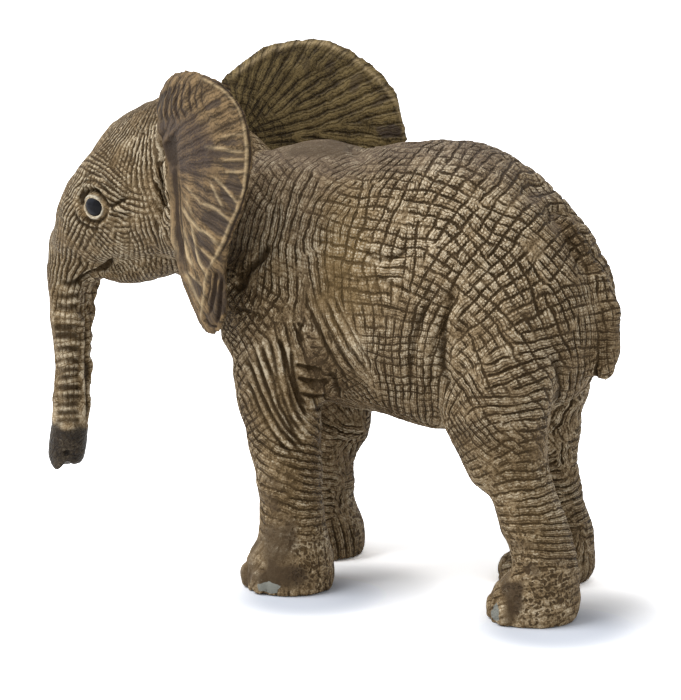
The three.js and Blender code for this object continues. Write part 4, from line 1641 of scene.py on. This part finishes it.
        # how far each vertex moves out
        wide = smoothstep(0.4, 1.2, gaps)
        cut = np.maximum(
            smoothstep(0.35, 1.0, upright.real) * much_up * wide[:, 0],
            smoothstep(0.35, 1.0, around.real) * much_round * wide[:, 1],
        )
        move = -self.crease_depth * cut
        move += self.lumps * calm * Drift(1.1, 12).at(points)
        swell = 0.5 * self.fold_depth * Drift(2.6, 9).at(points)
        swell *= smoothstep(-0.3, 0.8, Drift(9.0, 19).at(points))
        move += swell * calm * (1 - trunk)
        pressed, dark = sketch.pressed(STROKES + LIDS + LEG_FOLDS + RINGS + SCALLOPS + TRUNK_TIP)
        lids = sketch.pressed(LIDS)[1]
        dark = dark * (1 - np.clip(lids * 1.5, 0, 1))
        move += pressed
        for region in LEGS:
            mine = owner == regions.index(region)
            spot = self.middle(region)
            side = 1 if spot.y > 0 else -1
            move[mine] += self.toes.raised(points[mine], (spot.x, spot.y), side)
        seen = sketch.seen * head
        move -= self.eye_hole * (1 - smoothstep(0.86, 1.0, eye)) * seen
        move += self.eye_rim * bell(eye - 1.1, 0.08) * seen
        before = skin.normals()
        skin.push(move)
        self.shape_tip(skin, sketch.pixels, tip)
        # what the paint reads
        relief = move - relaxed(move, skin.table, 9)
        relief = relief + 0.5 * ((skin.points - relaxed(skin.points, skin.table, 4)) * before).sum(axis=1)
        # the tone holds painted highlights and painted shade from the spots, a random tone, and painted
        # shade in the socket round the eye
        light_shade_and_tone = sketch.spots(LIGHT_SHADE_AND_TONE_SPOTS, ragged * 0.5) + 0.2 * Drift(4.5, 14).at(skin.points)
        light_shade_and_tone -= 0.45 * (1 - smoothstep(1.5, 1.9, eye)) * seen
        plum = smoothstep(0.62, 0.95, before[:, 2]) * body
        plum = np.clip(plum + 0.35 * neck, 0, 1)
        gold = sketch.spots(GOLD_SPOTS, ragged * 0.5)
        lid = np.maximum(0.25 * (1 - smoothstep(1.02, 1.1, eye)) * seen, lids)
        fine = np.clip(sketch.spots(FINE_SPOTS), 0, 1) * (1 - tip) * smoothstep(1.5, 2.0, eye)
        brushed = np.clip(-pressed * 3, 0, 1)
        skin.carry("upright", upright.real, upright.imag, much_up)
        skin.carry("around", around.real, around.imag, much_round)
        skin.carry("form", relief, light_shade_and_tone, plum)
        skin.carry("wash", bare, chip_and_speck, tip)
        skin.carry("trim", lid, dark * (0.85 + ragged), gold)
        skin.carry("brush", fine, brushed, knobs)

    def cut(self, skin: Surface, owner: np.ndarray) -> list[bpy.types.Object]:
        """Parts the skin at the joints and closes each piece."""
        normals = skin.normals()
        skin.move(skin.points * MILLIMETRE)
        pieces = []
        whole = bmesh.new()
        whole.from_mesh(skin.mesh)
        number_of = whole.verts.layers.int.new("number")
        region_of = whole.faces.layers.int.new("region")
        for vert in whole.verts:
            vert[number_of] = vert.index
        for face in whole.faces:
            face[region_of] = int(owner[face.verts[0].index])
        for number, region in enumerate(Region):
            bm = whole.copy()
            region_layer = bm.faces.layers.int["region"]
            other = [face for face in bm.faces if face[region_layer] != number]
            bmesh.ops.delete(bm, geom=other, context="FACES")
            rim = [edge for edge in bm.edges if edge.is_boundary]
            caps = bmesh.ops.holes_fill(bm, edges=rim, sides=0)["faces"]
            bmesh.ops.poke(bm, faces=caps)
            mesh = bpy.data.meshes.new(region.value + "_skin")
            bm.to_mesh(mesh)
            bm.free()
            source = np.empty(len(mesh.vertices), np.int32)
            mesh.attributes["number"].data.foreach_get("value", source)
            for spare in ("number", "region"):
                mesh.attributes.remove(mesh.attributes[spare])
            mesh.shade_smooth()
            mesh.normals_split_custom_set_from_vertices(normals[source])
            log.info("%s: %d triangles", region.value, sum(len(f.vertices) - 2 for f in mesh.polygons))
            pieces.append(shown(mesh, region.value))
        whole.free()
        return pieces

    def dress(self, pieces: list[bpy.types.Object]) -> None:
        """Paints the pieces."""
        paint = HidePaint("hide_paint").build()
        for piece in pieces:
            piece.data.materials.clear()
            piece.data.materials.append(paint)


def shown(mesh: bpy.types.Mesh, node: str, replaces: bool = True) -> bpy.types.Object:
    """Puts a finished mesh in the scene on behalf of a CAD node."""
    piece = bpy.data.objects.new(mesh.name, mesh)
    bpy.context.scene.collection.objects.link(piece)
    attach(piece, "root")
    if replaces:
        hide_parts(node)
    return piece


def sharpened(surface: Surface, centres: list[np.ndarray], reach: float) -> Surface:
    """The surface with its faces split once more near some centres."""
    bm = bmesh.new()
    bm.from_mesh(surface.mesh)
    away = np.min([np.linalg.norm(surface.points - centre, axis=1) for centre in centres], axis=0)
    close = away < reach
    edges = [edge for edge in bm.edges if close[edge.verts[0].index] and close[edge.verts[1].index]]
    bmesh.ops.subdivide_edges(bm, edges=edges, cuts=1, use_grid_fill=True)
    bm.to_mesh(surface.mesh)
    bm.free()
    return Surface(surface.mesh)


EAR_PATCHES = (
    Spot((214, 105), (13, 3.8), -24, 0.85),
    Spot((225, 128), (16, 5), 0, 0.3),
    Spot((232, 143), (13, 4.2), 2, 0.75),
    Spot((226, 155), (18, 3.6), 2, 0.75),
    Spot((234, 166), (12, 4.8), 2, 1.0),
    Spot((235, 184), (12, 8), 55, 1.0),
    Spot((229, 200), (14, 4.6), 54, 1.0),
    Spot((216, 196), (13, 4), 60, 0.5),
    Spot((217, 223), (18, 10.5), 42, 1.0),
    Spot((206, 243), (15, 6.5), 52, 1.0),
    Spot((205, 259), (12, 5.4), 55, 0.95),
    Spot((193, 250), (17, 3), 72, 0.7),
    Spot((183, 262), (16, 3), 68, 0.6),
    Spot((197, 290), (14, 4.4), 66, 0.9),
    Spot((214, 302), (28, 8), 92, 0.75),
    Spot((222, 288), (24, 5), 88, 0.8),
)

# pale veins, the pale line inside the edge, and glints painted on the ridge in front
EAR_VEINS_AND_GLINTS = (
    Stroke(((220, 137), (232, 135), (246, 134)), 1.2, -0.08, 0.4),
    Stroke(((206, 147), (220, 148), (231, 151), (245, 152)), 1.3, -0.1, 0.7),
    Stroke(((222, 160), (234, 160), (246, 160)), 1.2, -0.1, 0.45),
    Stroke(((224, 172), (235, 172), (246, 172)), 1.3, -0.1, 0.6),
    Stroke(((213, 177), (222, 185), (231, 196), (238, 204)), 1.1, -0.12, 0.85),
    Stroke(((210, 182), (216, 194), (221, 203), (223, 208)), 1.1, -0.12, 0.75),
    Stroke(((200, 203), (208, 205), (216, 209), (226, 217), (232, 222)), 1.3, -0.12, 0.7),
    Stroke(((186, 186), (194, 196), (202, 205)), 1.0, -0.1, 0.45),
    Stroke(((182, 206), (190, 220), (199, 229), (208, 234), (221, 246)), 1.4, -0.14, 0.85),
    Stroke(((201, 248), (209, 256), (216, 261)), 0.9, -0.08, 0.55),
    Stroke(((190, 222), (193, 236), (196, 252), (202, 266), (207, 275)), 1.1, -0.14, 1.0),
    Stroke(((182, 226), (184, 242), (188, 257), (194, 268)), 1.2, -0.14, 1.0),
    Stroke(((178, 206), (181, 222), (186, 240), (189, 252)), 0.9, -0.08, 0.4),
    Stroke(((184, 196), (189, 206), (192, 216)), 0.9, -0.08, 0.4),
    Stroke(((187, 272), (191, 283), (197, 296), (203, 309)), 1.1, -0.12, 0.85),
    Stroke(((188, 271), (196, 279), (203, 286)), 0.9, -0.08, 0.55),
    # the thin pale line just inside the edge
    Stroke(((199, 77), (210, 82.5), (222, 89.5), (231, 98), (238, 108), (243, 122)), 1.0, -0.1, 0.7),
    Stroke(((242, 118), (245, 132), (247, 150), (246, 168), (244, 188), (240, 203)), 1.3, -0.14, 0.8),
    Stroke(((239, 198), (237, 210), (230, 224), (224, 240), (216, 256), (208, 270)), 1.2, -0.12, 0.75),
    Stroke(((208, 268), (206, 282), (205, 294), (202, 308), (200, 320)), 1.1, -0.12, 0.7),
    # painted glints on the ridge in front, in the vein colour
    Stroke(((169.5, 176), (169.5, 195), (170.5, 215), (174, 236), (180, 258)), 1.3, 0.0, 0.5),
)

EAR_STROKES = (
    # the ridge in front with its grooves, and the ear hole
    Stroke(((170, 163), (169.5, 190), (170.5, 218), (175, 240), (181, 262), (187, 280)), 1.5, -0.4),
    Stroke(((174.5, 164), (175, 186), (175.5, 214), (178.5, 238), (184, 260)), 1.6, 0.25, 0.85),
    Stroke(((179, 178), (179, 204), (181, 226), (184, 246)), 1.1, 0.12, 0.5),
    Stroke(((165.5, 166), (165.5, 190), (166.5, 216), (170.5, 240), (177, 264)), 1.4, 0.35, 0.85),
    Stroke(((161.5, 150), (161.5, 180), (162.5, 212), (166, 238)), 1.3, 0.25, 0.75),
    Stroke(((169.5, 140), (168.5, 147), (169.5, 156), (172, 163)), 2.9, 0.3, 1.0),
    Stroke(((172, 134), (173.5, 148), (174, 168)), 3.2, 0.1, 0.7),
    Stroke(((177, 128), (170, 135), (164, 143), (163.5, 152)), 1.5, -0.3),
    Stroke(((160, 132), (157, 142), (157, 155)), 1.4, 0.2, 0.6),
    Stroke(((166, 128), (161, 138), (160, 150)), 1.2, 0.2, 0.5),
    # the comb of folds over the top
    Stroke(((157, 120), (156, 110), (159, 100), (162, 92)), 1.4, 0.16, 0.7),
    Stroke(((162, 122), (160.5, 110), (163, 98), (167, 89)), 1.4, 0.16, 0.7),
    Stroke(((167, 123), (165, 110), (168, 96), (172, 85)), 1.4, 0.16, 0.7),
    Stroke(((173, 122), (170, 110), (172, 96), (176, 83)), 1.3, 0.14, 0.65),
    Stroke(((180, 122), (175, 110), (176, 96), (180, 81)), 1.3, 0.12, 0.6),
    Stroke(((186, 120), (181, 108), (181, 95), (185, 80)), 1.2, 0.12, 0.55),
    Stroke(((191, 114), (188, 100), (190, 81)), 1.2, 0.1, 0.5),
    Stroke(((197, 112), (194, 98), (197, 82)), 1.1, 0.1, 0.45),
    Stroke(((203, 108), (200, 96), (203, 84)), 1.0, 0.08, 0.35),
    Stroke(((154, 118), (152.5, 110), (154, 102)), 1.1, -0.15),
    Stroke(((164.5, 120), (163, 108), (165.5, 96)), 1.0, -0.12),
    Stroke(((176, 120), (172.5, 108), (174, 94)), 1.0, -0.12),
    # the dark line outside the pale rim
    Stroke(((203, 76), (221, 84), (233, 95), (242, 110), (247.5, 128), (250, 150)), 1.1, 0.1, 0.55),
    Stroke(((249.5, 145), (250, 158), (249, 172)), 1.1, 0.1, 0.55),
    Stroke(((249, 168), (246.5, 190), (240, 210), (233, 226), (227, 242), (218, 258)), 1.2, 0.12, 0.6),
    # the rolled lobe
    Stroke(((216, 270), (215, 286), (212, 302), (208, 316)), 1.4, 0.35, 0.75),
    Stroke(((222, 276), (220, 294), (219, 310), (215, 325)), 1.6, 0.45, 0.85),
    Stroke(((211, 272), (211, 286), (207, 302)), 1.1, 0.2, 0.45),
    Stroke(((213, 274), (213, 290), (209, 306)), 1.2, -0.25),
    Stroke(((219, 280), (218, 298), (215, 316)), 1.2, -0.25),
    Stroke(((204, 318), (209, 326), (217, 328)), 1.3, 0.25, 0.5),
)

EAR_INNER_PATCHES = (
    Spot((391, 131), (15, 6), 2, 1.0),
    Spot((356, 84), (11, 6), -62, 0.6),
    Spot((380, 100), (10, 5), -35, 0.5),
    Spot((330, 66), (14, 5), -80, 0.5),
    Spot((306, 66), (14, 4), -96, 0.5),
)

EAR_INNER_RIM = (
    Stroke(((226, 83), (247, 66), (272, 50), (300, 43), (326, 44), (352, 57)), 2.2, -0.14, 0.5),
    Stroke(((345, 52), (377, 78), (396, 102), (404, 126), (404, 146)), 2.0, -0.14, 0.4),
)

EAR_INNER_GROOVE = (
    (246, 74), (262, 62), (281, 53), (300, 49), (324, 50), (346, 60), (370, 82), (388, 104),
)

EAR_HOLLOW = (
    Spot((190, 147), (26, 30), -10, 1.0, 0.4),
    Spot((168, 133), (18, 14), -40, 0.7, 0.4),
    Spot((212, 200), (22, 24), 0, 0.3, 0.5),
)


@dataclass
class Ear:
    """One ear, sculpted from its CAD sheet. Lengths are in millimetres.

    Attributes:
        camera: the photo camera.
        name: the CAD node.
        side: 1 for the near ear and -1 for the far one.
        voxel: the spacing of the skin's points.
        root: how far behind the ear's front edge, out from the middle and above its lobe its folds
            fan out.
        fold_gap: the spacing of the folds at the root, and what each millimetre away from it adds.
        arc_gap: the spacing of the lines round the root.
    """

    camera: PhotoCamera
    name: str
    side: int
    voxel: float = 0.34
    root: tuple[float, float, float] = (3.0, 8.0, 20.0)
    fold_gap: tuple[float, float] = (0.75, 0.045)
    arc_gap: float = 1.2

    def build(self) -> bpy.types.Object:
        """Sculpts the ear."""
        coarse = moulded([self.name], 0.0, self.voxel, self.name)
        coarse.move(relaxed(coarse.points, coarse.table, 5, keep_volume=True))
        pulls = NEAR_EAR_PULLS if self.side > 0 else FAR_EAR_PULLS
        pixels = self.camera.pixels(coarse.points)
        coarse.move(coarse.points + pulled(self.camera, coarse.points, pixels, pulls))
        skin = refined(coarse, self.name)
        points, normals = skin.points, skin.normals()
        left = np.array([1.0, float(self.side), 1.0])
        outer = Sketch(self.camera, points * left, normals * left)
        inner = Sketch(self.camera, points * left * (1, -1, 1), normals * left * (1, -1, 1))
        back = smoothstep(0.1, 0.4, normals[:, 1] * self.side)
        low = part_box(self.name)[0]
        behind, aside, above = self.root
        root = np.array([low.x / MILLIMETRE + behind, -aside * self.side, low.z / MILLIMETRE + above])
        away = points - root
        outward = unit(away - normals * (away * normals).sum(axis=1, keepdims=True))
        reach = np.linalg.norm(away, axis=1)
        creases = Creases(skin, seed=17)
        spokes, sure_spokes = creases.grow(
            np.cross(normals, outward), self.fold_gap[0] + self.fold_gap[1] * reach
        )
        arcs, sure_arcs = creases.grow(outward, np.full(len(points), self.arc_gap))
        front = 0.55 * smoothstep(4, 12, reach)
        much_spokes = sure_spokes * (back * (0.85 - 0.3 * smoothstep(9, 20, reach)) + front * (1 - back))
        much_arcs = sure_arcs * back * (0.12 + 0.6 * smoothstep(11, 4, reach))
        ragged = 0.2 * Drift(1.5, 21).at(points) + 0.12 * Drift(0.6, 22).at(points)
        patch = np.clip(outer.spots(EAR_PATCHES, ragged), 0, 1) * (1 - back)
        patch += np.clip(inner.spots(EAR_INNER_PATCHES, ragged), 0, 1) * back
        rise, vein_and_glint = outer.pressed(EAR_VEINS_AND_GLINTS)
        edge, edge_dark = inner.pressed(EAR_INNER_RIM)
        pressed, dark = outer.pressed(EAR_STROKES)
        vein_and_glint = vein_and_glint * (1 - back) + edge_dark * back
        dark = np.clip(dark * 1.4, 0, 1) * (1 - back) + 0.4 * inner.line(EAR_INNER_GROOVE, 1.4) * back
        pressed = (pressed + rise) * (1 - back) + edge * back
        cut = np.maximum(
            smoothstep(0.2, 0.98, spokes.real) * much_spokes, smoothstep(0.3, 0.98, arcs.real) * much_arcs
        )
        move = pressed - 0.08 * cut - 0.06 * patch
        move += 0.05 * Drift(1.2, 23).at(points) + 0.1 * Drift(3.0, 25).at(points)
        skin.push(move)
        relief = move - relaxed(move, skin.table, 8)
        plum = np.clip(outer.spots(EAR_HOLLOW, ragged * 0.6), 0, 1) * (1 - back)
        skin.carry("marks", vein_and_glint, patch, dark)
        skin.carry("form", back, relief, plum)
        skin.carry("upright", spokes.real, spokes.imag, much_spokes)
        skin.carry("around", arcs.real, arcs.imag, much_arcs)
        skin.move(skin.points * MILLIMETRE)
        skin.mesh.shade_smooth()
        skin.mesh.name = self.name + "_skin"
        log.info("%s: %d points", self.name, len(skin.points))
        return shown(skin.mesh, self.name)

    def dress(self, piece: bpy.types.Object, paint: bpy.types.Material) -> None:
        """Paints the ear."""
        piece.data.materials.clear()
        piece.data.materials.append(paint)


@dataclass
class Eye:
    """One glossy eye set between its lids. Lengths are in millimetres."""

    spot: np.ndarray
    facing: np.ndarray
    name: str
    lean: float
    radii: tuple[float, float, float] = (1.56, 1.5, 0.9)
    sunk: float = 0.78

    def build(self) -> bpy.types.Object:
        """Makes the eyeball."""
        bm = bmesh.new()
        bmesh.ops.create_uvsphere(bm, u_segments=48, v_segments=32, radius=1.0)
        bmesh.ops.scale(bm, vec=self.radii, verts=bm.verts)
        lean = Matrix.Rotation(math.radians(self.lean), 3, "Z")
        bmesh.ops.rotate(bm, cent=(0, 0, 0), matrix=lean, verts=bm.verts)
        turn = Vector(self.facing).to_track_quat("Z", "Y").to_matrix()
        bmesh.ops.rotate(bm, cent=(0, 0, 0), matrix=turn, verts=bm.verts)
        bmesh.ops.translate(bm, vec=Vector(self.spot - self.facing * self.sunk), verts=bm.verts)
        bmesh.ops.scale(bm, vec=(MILLIMETRE,) * 3, verts=bm.verts)
        mesh = bpy.data.meshes.new(self.name)
        bm.to_mesh(mesh)
        bm.free()
        mesh.shade_smooth()
        return shown(mesh, "head_and_trunk", replaces=False)

    def dress(self, piece: bpy.types.Object, paint: bpy.types.Material) -> None:
        """Paints the eye."""
        piece.data.materials.append(paint)


@dataclass
class Studio:
    """The pale table, with a shadow painted on it round the two near feet, and the soft light round it.
    Lengths are in metres and power is in watts.

    Attributes:
        floor_size: the table's length and width.
        floor_shade: what the camera sees of the table away from the calf.
        contact_shade: the colour of the shadow painted on the table close to a foot.
        edge_shade: the colour of that painted shadow where it fades out.
        contact: how far from a foot's shaded place the painted shadow starts to fade, and where it ends.
        beyond: how far out the edge of the painted shadow turns into the floor's colour.
        contact_shifts: how far the middles of the painted shadow lie from the middle of a sole.
        glossy_shade: the table's colour in reflections, as RRGGBB.
        plain_shade: its colour for all other light, as RRGGBB.
        roughness: how rough the table is.
        sky: the strength of the surroundings.
        key_place: where the lamp stands.
        key_size: the side of the lamp.
        key_power: its power.
        aim: the place that it shines at.
    """

    floor_size: float = 8.0
    floor_shade: Colour = (2.5, 2.52, 2.56, 1.0)
    contact_shade: Colour = (0.66, 0.7, 0.78, 1.0)
    edge_shade: Colour = (1.22, 1.24, 1.28, 1.0)
    contact: tuple[float, float] = (0.003, 0.0125)
    beyond: tuple[float, float] = (0.009, 0.022)
    contact_shifts: tuple[tuple[float, float, float], ...] = (
        (0.004, -0.0052, 0.0),
        (0.0062, -0.002, 0.0),
    )
    glossy_shade: str = "f2f2f2"
    plain_shade: str = "ffffff"
    roughness: float = 0.9
    sky: float = 0.62
    key_place: tuple[float, float, float] = (-0.26, -0.24, 0.56)
    key_size: float = 0.36
    key_power: float = 3.4
    aim: tuple[float, float, float] = (0.0, 0.0, 0.03)

    def build(self, feet: list[Vector]) -> None:
        """Makes the floor, the lights and the surroundings.

        Args:
            feet: the middles of the two near feet on the floor.
        """
        bm = bmesh.new()
        bmesh.ops.create_grid(bm, x_segments=1, y_segments=1, size=self.floor_size / 2)
        mesh = bpy.data.meshes.new("table_top")
        bm.to_mesh(mesh)
        bm.free()
        floor = bpy.data.objects.new("table_top", mesh)
        bpy.context.scene.collection.objects.link(floor)
        paint = Paint("table_paint")
        bounced = paint.rays("Glossy", "Transmission")
        shade = paint.mix(bounced, linear(self.glossy_shade), linear(self.plain_shade))
        # a shadow painted on the table round the two near feet, darkest beside and in front of each sole
        # and fading out into the floor's colour
        near = far = 1.0
        for spot, shift in product(feet, self.contact_shifts):
            away = paint.distance(spot + Vector(shift))
            near = away.step(*self.contact) * near
            far = away.step(*self.beyond) * far
        seen_shade = paint.mix(near, self.contact_shade, self.edge_shade)
        seen_shade = paint.mix(far, seen_shade, self.floor_shade)
        shade = paint.mix(paint.rays("Camera"), shade, seen_shade)
        mesh.materials.append(paint.finish(shade, self.roughness, Specular_IOR_Level=0.0))
        self.lamp()
        self.surroundings()
        bpy.context.scene.view_settings.view_transform = "Standard"

    def lamp(self) -> None:
        """Adds the square soft light, aimed at the calf's middle."""
        data = bpy.data.lights.new("key", "AREA")
        data.size = self.key_size
        data.energy = self.key_power
        lamp = bpy.data.objects.new("key", data)
        bpy.context.scene.collection.objects.link(lamp)
        lamp.location = self.key_place
        toward = Vector(self.aim) - Vector(self.key_place)
        lamp.rotation_mode = "QUATERNION"
        lamp.rotation_quaternion = toward.to_track_quat("-Z", "Y")

    def surroundings(self) -> None:
        """Lights the scene evenly and shows white behind it."""
        world = bpy.data.worlds.new("studio")
        bpy.context.scene.world = world
        world.use_nodes = True
        sky = Graph(world.node_tree)
        sky.tree.nodes.clear()
        light = sky.node("ShaderNodeBackground", {}, {"Color": linear("ffffff"), "Strength": self.sky})
        white = sky.node("ShaderNodeBackground", {}, {"Color": linear("ffffff"), "Strength": 1.0})
        seen = sky.rays("Camera", "Glossy", "Transmission")
        shares = {0: seen, 1: Value(sky, light.outputs[0]), 2: Value(sky, white.outputs[0])}
        mixed = sky.node("ShaderNodeMixShader", {}, shares)
        sky.node("ShaderNodeOutputWorld", {}, {"Surface": Value(sky, mixed.outputs[0])})


def main() -> None:
    """Builds the calf and the studio."""
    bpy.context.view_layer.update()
    camera = PhotoCamera()
    camera.build()
    skin = Skin(camera)
    skin.dress(skin.build())
    paint = EarPaint().build()
    for name, side in (("left_ear", 1), ("right_ear", -1)):
        ear = Ear(camera, name, side)
        ear.dress(ear.build(), paint)
    lacquer = EyeLacquer().build()
    spot, facing = skin.under(EYE_SPOT.centre)
    for name, flip in (("left_eye", (1, 1, 1)), ("right_eye", (1, -1, 1))):
        eye = Eye(spot * flip, facing * flip, name, -EYE_SPOT.turn * flip[1])
        eye.dress(eye.build(), lacquer)
    Studio().build([skin.middle(leg) * MILLIMETRE for leg in NEAR_LEGS])


if __name__ == "__main__":
    main()
